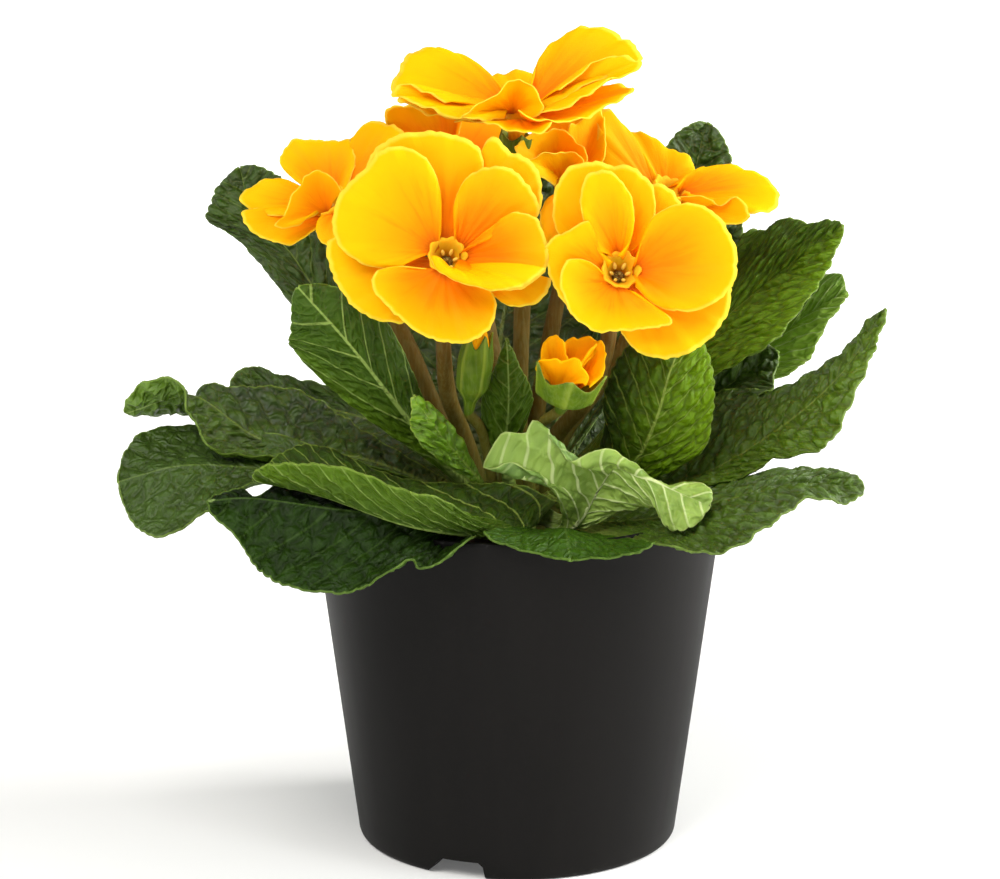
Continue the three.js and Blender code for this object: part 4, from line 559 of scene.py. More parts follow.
def random_for(item):
    """Each named piece's own random numbers, the same on every run."""
    return np.random.default_rng(sum(map(ord, item["name"])))


def phases(random, count):
    """Random phases of waves, in radians."""
    return random.uniform(0, 6.28, count)


def waves(at, *sines):
    """The sum of sine waves along a way: each its height, its length and its phase."""
    return sum(high * np.sin(TURN * at / long + phase) for high, long, phase in sines)


class Run:
    """A smooth run through points, measured by its own length from 0 to 1."""

    def __init__(self, points, steps=60):
        p = np.array(points, float)
        p = np.vstack((2 * p[0] - p[1], p, 2 * p[-1] - p[-2]))
        x = (np.arange(steps) / steps)[:, None]
        parts = []
        for i in range(1, len(p) - 2):
            a, b, c, d = p[i - 1 : i + 3]
            e, f, g = (max(np.linalg.norm(v), 1e-4) ** 0.5 for v in (b - a, c - b, d - c))
            start = ((b - a) / e - (c - a) / (e + f) + (c - b) / f) * f
            end = ((c - b) / f - (d - b) / (f + g) + (d - c) / g) * f
            parts.append(b + start * x + (3 * (c - b) - 2 * start - end) * x**2
                         + (2 * (b - c) + start + end) * x**3)
        self.line = np.vstack(parts + [p[-2:-1]])
        gaps = np.linalg.norm(np.diff(self.line, axis=0), axis=1)
        self.along = np.concatenate(([0.0], np.cumsum(gaps)))
        self.length = self.along[-1]

    def at(self, s):
        s = np.clip(np.asarray(s, float), 0, 1) * self.length
        return np.stack([np.interp(s, self.along, self.line[:, i]) for i in range(3)], -1)

    def heading(self, s, step=0.004):
        s = np.asarray(s, float)
        return unit(self.at(s + step) - self.at(s - step))

    def frames(self, s, first=(0.0, 0.0, 1.0), steps=240):
        """Heading and two sideways directions at s, carried along without twisting."""
        along = self.heading(np.arange(steps + 1) / steps)
        one = np.empty_like(along)
        carried = np.array(first, float)
        for i, t in enumerate(along):
            carried = unit(carried - t * (t @ carried))
            one[i] = carried
        k = np.clip(np.rint(np.asarray(s) * steps).astype(int), 0, steps)
        ahead = self.heading(s)
        aside = unit(one[k] - ahead * np.sum(ahead * one[k], -1, keepdims=True))
        return ahead, aside, np.cross(ahead, aside)


def between(marks, values, s, ends):
    """Values at s on a smooth line through marked values, with the slopes at both ends."""
    marks, values = np.array(marks, float), np.array(values, float)
    slope = np.zeros_like(values)
    slope[0], slope[-1] = ends
    slope[1:-1] = (values[2:] - values[:-2]) / (marks[2:] - marks[:-2])[:, None]
    s = np.clip(s, marks[0], marks[-1])
    k = np.clip(np.searchsorted(marks, s, side="right") - 1, 0, len(marks) - 2)
    h = (marks[k + 1] - marks[k])[:, None]
    x = (s - marks[k])[:, None] / h
    start = values[k] * (2 * x**3 - 3 * x**2 + 1) + slope[k] * h * (x**3 - 2 * x**2 + x)
    return start + values[k + 1] * (3 * x**2 - 2 * x**3) + slope[k + 1] * h * (x**3 - x**2)


# ---------------------------------------------------------------- meshes
class Shell:
    """Points, faces and point values that grow part by part into one mesh."""

    def __init__(self):
        self.points, self.faces, self.values, self.count = [], [], [], 0

    def add(self, points, faces, **values):
        """faces is a list of index arrays, each for faces with one number of corners."""
        flat = np.asarray(points, float).reshape(-1, 3)
        self.points.append(flat)
        self.faces += [np.asarray(f) + self.count for f in faces if len(f)]
        self.values.append((len(flat), values))
        self.count += len(flat)
        return self

    def piece(self, name, material):
        mesh = bpy.data.meshes.new(name)
        mesh.vertices.add(self.count)
        co = np.concatenate(self.points) * MM
        mesh.vertices.foreach_set("co", co.astype(np.float32).ravel())
        loops = np.concatenate([f.ravel() for f in self.faces]).astype(np.int32)
        sizes = np.concatenate([np.full(len(f), f.shape[1]) for f in self.faces])
        starts = np.concatenate(([0], np.cumsum(sizes)[:-1])).astype(np.int32)
        mesh.loops.add(len(loops))
        mesh.loops.foreach_set("vertex_index", loops)
        mesh.polygons.add(len(sizes))
        mesh.polygons.foreach_set("loop_start", starts)
        mesh.update(calc_edges=True)
        mesh.polygons.foreach_set("use_smooth", np.ones(len(sizes), bool))
        for key in sorted({k for _, values in self.values for k in values}):
            rows = [np.zeros((n, 3)) if key not in v
                    else np.broadcast_to(np.asarray(v[key], float), (n, 3))
                    for n, v in self.values]
            layer = mesh.attributes.new(key, "FLOAT_VECTOR", "POINT")
            layer.data.foreach_set("vector", np.concatenate(rows).astype(np.float32).ravel())
        mesh.validate()
        mesh.materials.append(material)
        made = bpy.data.objects.new(name, mesh)
        bpy.context.scene.collection.objects.link(made)
        return made


def grid_faces(rows, columns, offset=0, turned=False):
    """Quads of a grid of points, facing along columns x rows."""
    a = (np.arange(rows - 1)[:, None] * columns + np.arange(columns - 1)).ravel() + offset
    quads = np.stack((a, a + 1, a + columns + 1, a + columns), 1)
    return quads[:, ::-1] if turned else quads


def blade(shell, sheet, above, below, **values):
    """A thin closed blade about a sheet of points: rows run along it, columns across."""
    rows, columns = sheet.shape[:2]
    along, across = np.gradient(sheet, axis=0), np.gradient(sheet, axis=1)
    normal = unit(np.cross(across, along))
    top = sheet + normal * np.broadcast_to(above, (rows, columns))[..., None]
    low = sheet - normal * np.broadcast_to(below, (rows, columns))[..., None]
    n = rows * columns
    r, c = np.arange(rows - 1), np.arange(columns - 1)
    last = (rows - 1) * columns

    def wall(a, b):
        return np.stack((a, b, b + n, a + n), 1)

    faces = np.vstack((
        grid_faces(rows, columns), grid_faces(rows, columns, n, True),
        wall(r * columns, (r + 1) * columns),
        wall((r + 2) * columns - 1, (r + 1) * columns - 1),
        wall(c + 1, c), wall(last + c, last + c + 1),
    ))
    both = {}
    for key, value in values.items():
        value = np.broadcast_to(np.asarray(value, float), (rows, columns, 3)).reshape(-1, 3)
        both[key] = np.concatenate((value, value))
    sides = np.repeat((1.0, -1.0), n)
    both["side"] = np.stack((sides, sides, sides), 1)
    both["lift"] = np.tile(normal.reshape(-1, 3), (2, 1))
    return shell.add(np.concatenate((top.reshape(-1, 3), low.reshape(-1, 3))), [faces], **both)


def rings(shell, circles, start=None, end=None, **values):
    """Rings of equally many points, each closed on itself, ended by a point where given."""
    circles = np.asarray(circles, float)
    count, sides = circles.shape[:2]
    a = np.arange(count - 1)[:, None] * sides + np.arange(sides)
    b = np.arange(count - 1)[:, None] * sides + (np.arange(sides) + 1) % sides
    quads = np.stack((a, b, b + sides, a + sides), -1).reshape(-1, 4)
    points, tris, k = [circles.reshape(-1, 3)], [], np.arange(sides)
    n = count * sides
    for tip, turn in ((start, False), (end, True)):
        if tip is None:
            continue
        first = (count - 1) * sides if turn else 0
        fan = np.stack((np.full(sides, n), first + (k + 1) % sides, first + k), 1)
        tris.append(fan[:, ::-1] if turn else fan)
        points.append(np.asarray(tip, float)[None])
        n += 1
    spread = {}
    for key, value in values.items():
        value = np.broadcast_to(np.asarray(value, float), (count, sides, 3)).reshape(-1, 3)
        ends = [value[:1] if t is start else value[-1:] for t in (start, end) if t is not None]
        spread[key] = np.concatenate([value] + ends)
    return shell.add(np.concatenate(points), [quads] + tris, **spread)


def around(middle, one, other, radius, turns):
    """Points round a middle at the given radius and turns; any of them may be an array."""
    radius, turns = np.asarray(radius, float)[..., None], np.asarray(turns)[..., None]
    return middle + radius * (np.cos(turns) * one + np.sin(turns) * other)


def circle_turns(sides):
    """Evenly spread turns round a circle."""
    return TURN * np.arange(sides) / sides


def lathe(profile, sides):
    """Circles about the upright axis from pairs of radius and height."""
    return [around(UP * z, *FLAT, r, circle_turns(sides)) for r, z in profile]


def mend(piece, gap=1e-6):
    """Merges points that meet and turns all faces outward."""
    mesh = bmesh.new()
    mesh.from_mesh(piece.data)
    bmesh.ops.remove_doubles(mesh, verts=mesh.verts, dist=gap)
    bmesh.ops.recalc_face_normals(mesh, faces=mesh.faces)
    mesh.to_mesh(piece.data)
    mesh.free()


def square_to(face):
    """Two directions square to the way something faces, the first close to +X."""
    one = unit(np.array((1.0, 0.0, 0.0)) - face * face[0])
    return one, np.cross(face, one)


# ---------------------------------------------------------------- nodes
def linear(code):
    """An sRGB hex colour as linear red, green, blue and 1."""
    parts = [int(code[i : i + 2], 16) / 255 for i in (1, 3, 5)]
    return tuple(p / 12.92 if p <= 0.04045 else ((p + 0.055) / 1.055) ** 2.4 for p in parts) + (1.0,)


def add(tree, kind, links=(), **settings):
    """One node with its settings; links maps an input's name or place to a value or a socket."""
    node = tree.nodes.new(kind)
    for key, value in settings.items():
        setattr(node, key, value)
    for key, value in dict(links).items():
        if isinstance(value, bpy.types.NodeSocket):
            tree.links.new(value, node.inputs[key])
        else:
            node.inputs[key].default_value = value
    return node


def new_material(name):
    """An empty material and its node tree."""
    material = bpy.data.materials.new(name)
    material.use_nodes = True
    material.node_tree.nodes.clear()
    return material, material.node_tree


def end_material(tree, links, glow=None):
    """The shader and the output. glow is the colour and the share of the light that a thin sheet
    lets through."""
    surface = add(tree, "ShaderNodeBsdfPrincipled", links).outputs[0]
    if glow:
        through = add(tree, "ShaderNodeBsdfTranslucent", {"Color": linear(glow[0])}).outputs[0]
        surface = add(tree, "ShaderNodeMixShader", {0: glow[1], 1: surface, 2: through}).outputs[0]
    add(tree, "ShaderNodeOutputMaterial", {"Surface": surface})


def finish_by_nodes(piece, tree, **inputs):
    """Runs a Geometry Nodes tree on a piece and keeps the result as its plain mesh."""
    modifier = piece.modifiers.new(tree.name, "NODES")
    modifier.node_group = tree
    for item in tree.interface.items_tree:
        if item.item_type == "SOCKET" and item.in_out == "INPUT" and item.name in inputs:
            modifier[item.identifier] = inputs[item.name]
    bpy.context.view_layer.update()
    graph = bpy.context.evaluated_depsgraph_get()
    mesh = bpy.data.meshes.new_from_object(piece.evaluated_get(graph), depsgraph=graph)
    mesh.name = piece.name
    old = piece.data
    piece.modifiers.clear()
    piece.data = mesh
    bpy.data.meshes.remove(old)


def new_nodes_tree(name, **sizes):
    """A Geometry Nodes tree with a Geometry input, named number inputs and a Material."""
    tree = bpy.data.node_groups.new(name, "GeometryNodeTree")
    face = tree.interface
    face.new_socket("Geometry", in_out="INPUT", socket_type="NodeSocketGeometry")
    for key, value in sizes.items():
        kind = "NodeSocketInt" if isinstance(value, int) else "NodeSocketFloat"
        face.new_socket(key, in_out="INPUT", socket_type=kind).default_value = value
    face.new_socket("Material", in_out="INPUT", socket_type="NodeSocketMaterial")
    face.new_socket("Geometry", in_out="OUTPUT", socket_type="NodeSocketGeometry")
    return tree, add(tree, "NodeGroupInput")


def joined(tree, *parts):
    """Several meshes as one."""
    both = add(tree, "GeometryNodeJoinGeometry")
    for part in parts:
        tree.links.new(part, both.inputs[0])
    return both.outputs[0]


def end_tree(tree, geometry, material):
    """Realize Instances, Set Material and the output."""
    real = add(tree, "GeometryNodeRealizeInstances", {0: geometry})
    painted = add(tree, "GeometryNodeSetMaterial", {"Geometry": real.outputs[0], "Material": material})
    shaded = add(tree, "GeometryNodeSetShadeSmooth", {0: painted.outputs[0]})
    add(tree, "NodeGroupOutput", {0: shaded.outputs[0]})
    return tree


def place(piece, slot, *nodes):
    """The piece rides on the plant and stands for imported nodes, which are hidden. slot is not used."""
    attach(piece, "root")
    if nodes:
        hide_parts(*nodes)
    return piece


# ---------------------------------------------------------------- leaves
def vein_net(tree, blade_at, cell, fine):
    """How far a point is from the coarse and from the fine net of veins, in cells."""
    wander = add(tree, "ShaderNodeTexNoise", {"Vector": blade_at, "Scale": 0.22, "Detail": 1.0},
                 noise_dimensions="2D")
    pushed = add(tree, "ShaderNodeVectorMath",
                 {0: wander.outputs["Color"], 1: (3.4, 3.4, 0.0), 2: blade_at},
                 operation="MULTIPLY_ADD").outputs[0]
    found = []
    for size in (cell, fine):
        per_mm = add(tree, "ShaderNodeMath", {0: 1.0, 1: size}, operation="DIVIDE").outputs[0]
        found.append(add(tree, "ShaderNodeTexVoronoi", {"Vector": pushed, "Scale": per_mm},
                         voronoi_dimensions="2D", feature="DISTANCE_TO_EDGE").outputs["Distance"])
    return found


def masks(tree, **bands):
    """Numbers that go smoothly from one value to another while a socket goes low to high."""
    made = {}
    for key, (value, low, high, start, end) in bands.items():
        made[key] = add(tree, "ShaderNodeMapRange", {0: value, 1: low, 2: high, 3: start, 4: end},
                        interpolation_type="SMOOTHSTEP").outputs[0]
    return made


def product(tree, *parts):
    """Several sockets and numbers multiplied together."""
    result = parts[0]
    for part in parts[1:]:
        result = add(tree, "ShaderNodeMath", {0: result, 1: part}, operation="MULTIPLY").outputs[0]
    return result


def weighted(tree, base, *parts):
    """A base plus several values, each times its share."""
    for value, share in parts:
        base = add(tree, "ShaderNodeMath", {0: value, 1: share, 2: base},
                   operation="MULTIPLY_ADD").outputs[0]
    return base


def layered(tree, base, *layers):
    """Colours laid over a base, each by its shares multiplied together."""
    for *shares, colour in layers:
        base = add(tree, "ShaderNodeMix", {0: product(tree, *shares), 6: base, 7: colour},
                   data_type="RGBA").outputs[2]
    return base


def split(tree, key, kind="ShaderNodeAttribute"):
    """The three numbers of a point value that the mesh carries."""
    if kind == "ShaderNodeAttribute":
        vector = add(tree, kind, attribute_name=key).outputs["Vector"]
    else:
        vector = add(tree, kind, {0: key}, data_type="FLOAT_VECTOR").outputs[0]
    return [vector, *add(tree, "ShaderNodeSeparateXYZ", {0: vector}).outputs]


def leaf_values(tree, cell, fine, kind="ShaderNodeAttribute"):
    """What a leaf's mesh carries: the place on the blade, share of its length, distance to the
    margin and the midrib, and how far the coarse, the fine and the side veins are."""
    blade_at, _, _, phase = split(tree, "blade", kind)
    where = split(tree, "where", kind)[1:]
    lateral = add(tree, "ShaderNodeMath", {0: phase, 1: 0.5}, operation="PINGPONG").outputs[0]
    return blade_at, *where, *vein_net(tree, blade_at, cell, fine), lateral


def leaf_material(tone):
    """Leaf skin: a thin waxy cuticle over a blistered blade. The blisters catch soft light one by
    one, the veins lie in valleys on the upper side and stand out, paler, on the under side."""
    look = bpy.context.scene.primrose_leaf
    given = {**SKIN, **SKINS.get(tone, {})}
    bold, grained = given["bold"], given["grained"]
    codes = {**TONES["leaf"], **TONES[tone]}
    colour = {key: linear(code) for key, code in codes.items()}
    material, tree = new_material("leaf_skin_" + tone)
    blade_at, s, edge, rib, coarse, fine, lateral = leaf_values(tree, look.cell, look.fine_cell)
    _, painted_light, veins, net = split(tree, "tint")
    side = split(tree, "side")[1]
    patches = add(tree, "ShaderNodeTexNoise", {"Vector": blade_at, "Scale": 0.09, "Detail": 3.0},
                  noise_dimensions="2D").outputs["Fac"]
    grain = add(tree, "ShaderNodeTexNoise", {"Vector": blade_at, "Scale": 1.9, "Detail": 3.0},
                noise_dimensions="2D").outputs["Fac"]
    m = masks(
        tree, lateral=(lateral, 0.02 * bold, 0.06 * bold, 1.0, 0.0),
        coarse=(coarse, 0.02, 0.085, 1.0, 0.0),
        fine=(fine, 0.02, 0.12, 1.0, 0.0), midrib=(rib, 0.45, 1.0, 1.0, 0.0),
        margin=(edge, 0.12, 0.5, 1.0, 0.0), petiole=(s, 0.04, 0.22, 1.0, 0.0),
        under=(side, -0.1, 0.1, 1.0, 0.0), dome=(coarse, 0.0, 0.4, 0.0, 1.0),
        swell=(fine, 0.0, 0.45, 0.0, 1.0), hollow=(coarse, 0.0, 0.15, 1.0, 0.0),
        patch=(patches, 0.35, 0.68, 0.0, 1.0), rib_share=(veins, -0.5, 1.0, 0.0, 1.0),
    )
    # Upper side: the blister tops are painted lighter, a painted highlight, and the valleys and the fine
    # net darker, painted shade; each leaf's own painted light adds a bright green.
    upper = layered(
        tree, colour["dark"], (m["patch"], 0.5, colour["light"]), (m["dome"], 0.45, colour["light"]),
        (painted_light, colour["painted_light"]), (m["hollow"], given["valley"], colour["shade"]),
        (m["fine"], 0.12, colour["shade"]), (m["coarse"], net, colour["vein"]),
        (m["fine"], net, 0.3, colour["vein"]), (m["lateral"], veins, colour["vein"]),
        (m["midrib"], m["rib_share"], colour["vein"]),
    )
    # Under side: the blister tops are painted lighter here too, a painted highlight, with each leaf's
    # own painted light.
    below = layered(
        tree, colour["under"], (m["patch"], 0.6, colour["under_light"]),
        (painted_light, colour["painted_light"]), (m["dome"], 0.3, colour["under_light"]),
        (m["fine"], net, 0.6, colour["under_vein"]), (m["coarse"], net, colour["under_vein"]),
        (m["lateral"], veins, colour["under_vein"]), (m["midrib"], 0.9, colour["under_vein"]),
    )
    skin = layered(tree, upper, (m["under"], below), (m["petiole"], 0.6, colour["petiole"]),
                   (m["margin"], 0.65, colour["edge"]))
    relief = weighted(tree, product(tree, m["swell"], 0.5), (m["dome"], 0.6), (grain, 0.28),
                      (product(tree, m["lateral"], veins), -0.8))
    bump = add(tree, "ShaderNodeBump", {"Height": product(tree, relief, side), "Strength": grained,
                                        "Distance": look.relief})
    rough = masks(tree, rough=(grain, 0.3, 0.7, look.roughness - 0.07, look.roughness + 0.1))["rough"]
    end_material(tree, {
        "Base Color": skin, "Normal": bump.outputs[0], "Roughness": rough,
        "Specular IOR Level": given["gloss"], "Subsurface Weight": 0.08,
        "Subsurface Scale": 0.8 * MM, "Subsurface Radius": (0.5, 1.0, 0.2),
    }, glow=(codes["painted_light"], given["through"]))
    return material


def quilt_tree():
    """Lifts the blade into blisters between its veins; both faces move together."""
    tree, given = new_nodes_tree("quilted_blade", **{
        "Blister height": 0.5 * MM, "Cell": 5.0, "Fine cell": 2.2})
    fetch = "GeometryNodeInputNamedAttribute"
    _, s, edge, rib, coarse, fine, lateral = leaf_values(
        tree, given.outputs["Cell"], given.outputs["Fine cell"], fetch)
    lift = split(tree, "lift", fetch)[0]
    m = masks(tree, dome=(coarse, 0.0, 0.4, -0.5, 0.5), swell=(fine, 0.0, 0.45, -0.2, 0.2),
              ridge=(lateral, 0.0, 0.3, -0.6, 0.4), rim=(edge, 0.1, 2.8, 0.15, 1.0),
              stem=(s, 0.1, 0.34, 0.0, 1.0), middle=(rib, 0.9, 3.2, 0.0, 1.0))
    height = weighted(tree, m["dome"], (m["swell"], 1.0), (m["ridge"], 1.0))
    height = product(tree, height, m["rim"], m["stem"], m["middle"], given.outputs["Blister height"])
    offset = add(tree, "ShaderNodeVectorMath", {0: lift, "Scale": height}, operation="SCALE")
    moved = add(tree, "GeometryNodeSetPosition",
                {"Geometry": given.outputs["Geometry"], "Offset": offset.outputs[0]})
    bare = add(tree, "GeometryNodeRemoveAttribute", {0: moved.outputs[0], "Name": "lift"})
    return end_tree(tree, bare.outputs[0], given.outputs["Material"])


def blade_width(s, leaf):
    """How wide a blade is along its run: a narrow winged petiole, broadest past the middle."""
    neck, stem, broad = leaf["neck"], leaf["stem"], leaf["broad"]
    near = stem + (1 - stem) * smooth((s - neck) / (broad - neck)) ** 0.85
    x = np.clip((s - broad) / (1 - broad), 0, 1)
    far = np.maximum(0.02, (1 - x ** leaf["point"]) ** leaf["taper"])
    return np.where(s < broad, near, far)


def margin(leaf, run, put, which, local, s):
    """A margin through all its landmarks, from the petiole to a round tip."""
    marks = [m[0] for m in leaf["sides"]]
    early = np.array((0, marks[0] / 2))
    arms = np.einsum("i,kij->kj", local, np.stack(run.frames(early), 1))
    arms = arms * blade_width(early, leaf)[:, None]
    points = [*(run.at(early) + arms), *(put(m[which]) for m in leaf["sides"]), run.at(1.0)]
    ahead, last = run.heading(1.0), points[-1] - points[-2]
    inward = 1.4 * (last - ahead * (ahead @ last)) / (1 - marks[-1])
    return between([*early, *marks, 1], points, s, ((points[1] - points[0]) / early[1], inward))


def leaf_arms(leaf, run, put, s, frame):
    """The way from the midrib to the left and to the right margin at each row."""
    where = np.array([m[0] for m in leaf["sides"]], float)
    frame_at = np.stack(run.frames(where), 1)
    width_at = blade_width(where, leaf)[:, None]
    lean = 1 - smooth((s - leaf["broad"]) / (1 - leaf["broad"]))
    arms = []
    for which in (1, 2):
        away = np.array([put(m[which]) for m in leaf["sides"]]) - run.at(where)
        local = np.einsum("kij,kj->ki", frame_at, away) / width_at
        if len(where) > 1:
            arms.append(margin(leaf, run, put, which, local[0], s) - run.at(s))
            continue
        parts = np.repeat(local, len(s), 0)
        parts[:, 0] *= lean
        arms.append(np.einsum("ki,kij->kj", parts, frame))
    return arms


def leaf_sheet(leaf, run, put, rows, columns, random):
    """One leaf's points, row by row from petiole to tip, and what its skin needs to know: shares
    along and across, mm across and along, and mm from the margin."""
    s = 1 - (1 - np.linspace(0, 1, rows)) ** 1.4
    frame = np.stack(run.frames(s), 1)
    width = blade_width(s, leaf)
    arms = leaf_arms(leaf, run, put, s, frame)
    up = unit(np.cross(arms[1] - arms[0], frame[:, 0]))
    t = np.linspace(-1, 1, columns)
    t = np.sign(t) * np.abs(t) ** 1.2
    far = np.abs(t)[None]
    middle = run.at(s)
    arm = np.where((t < 0)[None, :, None], arms[0][:, None], arms[1][:, None])
    reach = np.repeat((width if len(leaf["sides"]) == 1 else np.ones(rows))[:, None], columns, 1)
    for at, which, deep, span in leaf["nicks"]:
        hit = (t < 0) == (which == 0)
        reach = reach * (1 - hit[None] * deep * np.exp(-(((s - at) / span) ** 2))[:, None])
    sheet = middle[:, None] + arm * (far * reach)[..., None]
    high, count, start = leaf["wave"]
    open_blade = smooth((s - leaf["neck"]) * 4)[:, None]
    sway = np.sin(TURN * count * s[:, None] + start + np.where(t < 0, 0, 2)[None])
    rise = high * far**1.6 * open_blade * (1 - 0.5 * s[:, None]) * sway
    rise = rise + leaf["bow"] * 4 * far * (1 - far) * width[:, None]
    # The margin: small rounded teeth and a longer ruffle, both by its own length in mm.
    size = leaf["tooth"]
    for column, mask in ((0, t < 0), (-1, t > 0)):
        line = sheet[:, column]
        run_mm = np.concatenate(([0], np.cumsum(np.linalg.norm(np.diff(line, axis=0), axis=1))))
        drift = phases(random, 3)
        phase = math.pi * run_mm / size + 0.9 * np.sin(run_mm / 7.3 + drift[0])
        notch = 0.22 * size * (np.abs(np.sin(phase)) ** 0.7 - 0.66)
        notch = notch * open_blade[:, 0] * (0.75 + 0.4 * np.sin(run_mm / 4.1 + drift[1]))
        near_edge = np.where(mask, far[0] ** 9, 0)[None]
        out = unit(arms[0] if column == 0 else arms[1])
        sheet = sheet + (near_edge * notch[:, None])[..., None] * out[:, None]
        ruffle = waves(run_mm, (leaf["ruffle"], RUFFLE_LENGTH, drift[2]))
        rise = rise + np.where(mask, far[0] ** 4, 0)[None] * (ruffle * open_blade[:, 0])[:, None]
    sheet = sheet + up[:, None] * rise[..., None]
    step = np.linalg.norm(np.diff(sheet, axis=1), axis=2)
    run_across = np.concatenate((np.zeros((rows, 1)), np.cumsum(step, 1)), 1)
    half = columns // 2
    x = run_across - run_across[:, half : half + 1]
    y = np.broadcast_to((s * run.length)[:, None], x.shape)
    edge = np.minimum(np.minimum(run_across, run_across[:, -1:] - run_across),
                      (1 - s)[:, None] * run.length)
    return sheet, s, t, x, y, edge


def upper_side(leaf, sheet, normal):
    """Whether the normal leaves the upper side (1) or the under side (-1) of a blade."""
    body = slice(len(sheet) // 3, -len(sheet) // 8)
    if leaf["shows"] == "up":
        outward = unit(sheet[body] * (1, 1, 0))
        faces_up = np.mean(normal[body][..., 2] - 0.5 * np.sum(normal[body] * outward, -1))
    else:
        faces_up = np.mean(normal[body] @ -AHEAD) * (1 if leaf["shows"] == "upper" else -1)
    return 1.0 if faces_up > 0 else -1.0


def build_leaf(leaf, materials, tree, look):
    """One leaf: its sheet with ribs below, its teeth and ripples, then its blisters."""
    leaf, random = {**LEAF, **leaf, **LEAF_LOOK.get(leaf["name"], {})}, random_for(leaf)
    put = np.array if "far" in leaf else seen
    run = Run([foot_on(leaf["foot"]), *(put(m) for m in leaf["mid"])])
    rows = run.length * leaf["fine"] / LEAF_MESH["step"]
    rows = int(np.clip(rows, LEAF_MESH["least"], LEAF_MESH["most"]))
    columns = LEAF_MESH["plain_columns" if leaf["shows"] == "up" else "columns"]
    sheet, s, t, x, y, edge = leaf_sheet(leaf, run, put, rows, columns, random)
    along, across = np.gradient(sheet, axis=0), np.gradient(sheet, axis=1)
    normal = unit(np.cross(across, along))
    upper = upper_side(leaf, sheet, normal)
    tip = (1 - s)[:, None]
    from_rib = np.abs(x) / (1.2 - s)[:, None]
    rib = np.exp(-((np.abs(x) / (0.5 + 1.1 * tip)) ** 2)) * (0.15 + 1.3 * tip**1.3)
    thin = look.thickness / MM / 2
    plain = np.full(x.shape, thin)
    above, below = (plain, plain + rib) if upper > 0 else (plain + rib, plain)
    sheet = sheet - normal * (upper * 0.35 * rib)[..., None]
    spacing = leaf.get("spacing", look.vein_spacing)
    drift = phases(random, 4)
    wander = 0.16 * np.sin(0.19 * x + drift[0]) + 0.12 * np.sin(0.13 * y + drift[1])
    sweep = 0.62 * np.abs(x) + 0.006 * x * x
    phase = (y - sweep) / spacing + np.where(t > 0, 0.5, 0)[None] + wander
    seed = random.uniform(0, 400, 2)
    # Painted light: each leaf is painted lighter or darker by its own amount, one side or one end more
    # than the other, as the light falls on it.
    base, slope_t, slope_s = leaf["painted_light"]
    painted_light = np.clip(base + slope_t * t[None] + slope_s * (s[:, None] - 0.5), 0, 1)
    veins, net = leaf["veins"]
    shell = blade(
        Shell(), sheet, above, below,
        blade=np.stack((x + seed[0], y + seed[1], phase), -1),
        where=np.stack((np.broadcast_to(s[:, None], x.shape), edge, from_rib), -1),
        tint=np.stack((painted_light, veins * (1 - leaf["fade"] * np.abs(t) ** 1.5 * np.ones_like(x)),
                       np.full(x.shape, net)), -1),
    )
    for _, values in shell.values:
        values["side"] = values["side"] * upper
        values["lift"] = values["lift"] * upper
    material = materials[leaf["tone"]]
    piece = shell.piece(leaf["name"] + "_blade", material)
    finish_by_nodes(piece, tree, **{
        "Blister height": look.blister * leaf["quilt"], "Cell": look.cell,
        "Fine cell": look.fine_cell, "Material": material})
    return place(piece, SLOT_OF.get(leaf["tone"], "leaf"), leaf["name"])


# ---------------------------------------------------------------- blooms
def petal_material():
    """Petal skin: soft velvety cells over a juicy sheet that lets light through. It is yellow at
    the rim and deepens to orange where the petal dips to the throat, with faint running veins."""
    look = bpy.context.scene.primrose_flower
    material, tree = new_material("petal_velvet")
    _, along, across, warm = split(tree, "petal")
    _, throat, green, pit_shade = split(tree, "throat")
    spot = add(tree, "ShaderNodeTexCoord").outputs["Object"]
    streak_at = add(tree, "ShaderNodeCombineXYZ", {0: product(tree, across, 20.0),
                                                   1: product(tree, along, 1.3)}).outputs[0]
    streak = add(tree, "ShaderNodeTexNoise", {"Vector": streak_at, "Scale": 1.0, "Detail": 4.0,
                                              "Roughness": 0.6}).outputs["Fac"]
    cloud = add(tree, "ShaderNodeTexNoise", {"Vector": spot, "Scale": 90.0, "Detail": 2.0})
    depth = weighted(tree, along, (warm, -0.5), (cloud.outputs["Fac"], 0.16))
    # rim lays a thin paler yellow line along a petal's edge: a painted highlight where the curled lip
    # catches the light.
    m = masks(tree, yellow=(depth, -0.05, 0.82, 0.0, 1.0), deep=(depth, -0.3, 0.25, 1.0, 0.0),
              rim=(along, 0.945, 0.985, 0.0, 1.0), streaks=(streak, 0.5, 0.64, 0.0, 1.0),
              base=(along, 0.15, 0.9, 1.0, 0.0), star=(along, 0.05, 0.24, 1.0, 0.0))
    # The pit paints the bottom of the throat's cup near black-brown: painted shade.
    skin = layered(
        tree, tuple(look.orange) + (1.0,), (m["yellow"], tuple(look.yellow) + (1.0,)),
        (m["deep"], 0.7, linear("#FA7E00")), (m["streaks"], m["base"], 0.6, linear("#EA7E00")),
        (m["star"], 0.7, linear("#C0620C")), (m["rim"], 0.8, linear("#FFE848")),
        (throat, linear("#FBC724")), (green, 0.85, linear("#E0B81E")), (pit_shade, 0.9, linear("#4A2C0A")),
    )
    cells = add(tree, "ShaderNodeTexNoise", {"Vector": spot, "Scale": 2600.0, "Detail": 2.0})
    height = weighted(tree, product(tree, cells.outputs["Fac"], 0.25), (streak, 0.8))
    bump = add(tree, "ShaderNodeBump", {"Height": height, "Strength": 0.6, "Distance": 0.4 * MM})
    end_material(tree, {
        "Base Color": skin, "Normal": bump.outputs[0], "Roughness": 0.6,
        "Specular IOR Level": 0.08, "Subsurface Weight": 0.3,
        "Subsurface Scale": 1.2 * MM, "Subsurface Radius": (1.0, 0.55, 0.1),
    }, glow=("#FFB000", 0.3))
    return material


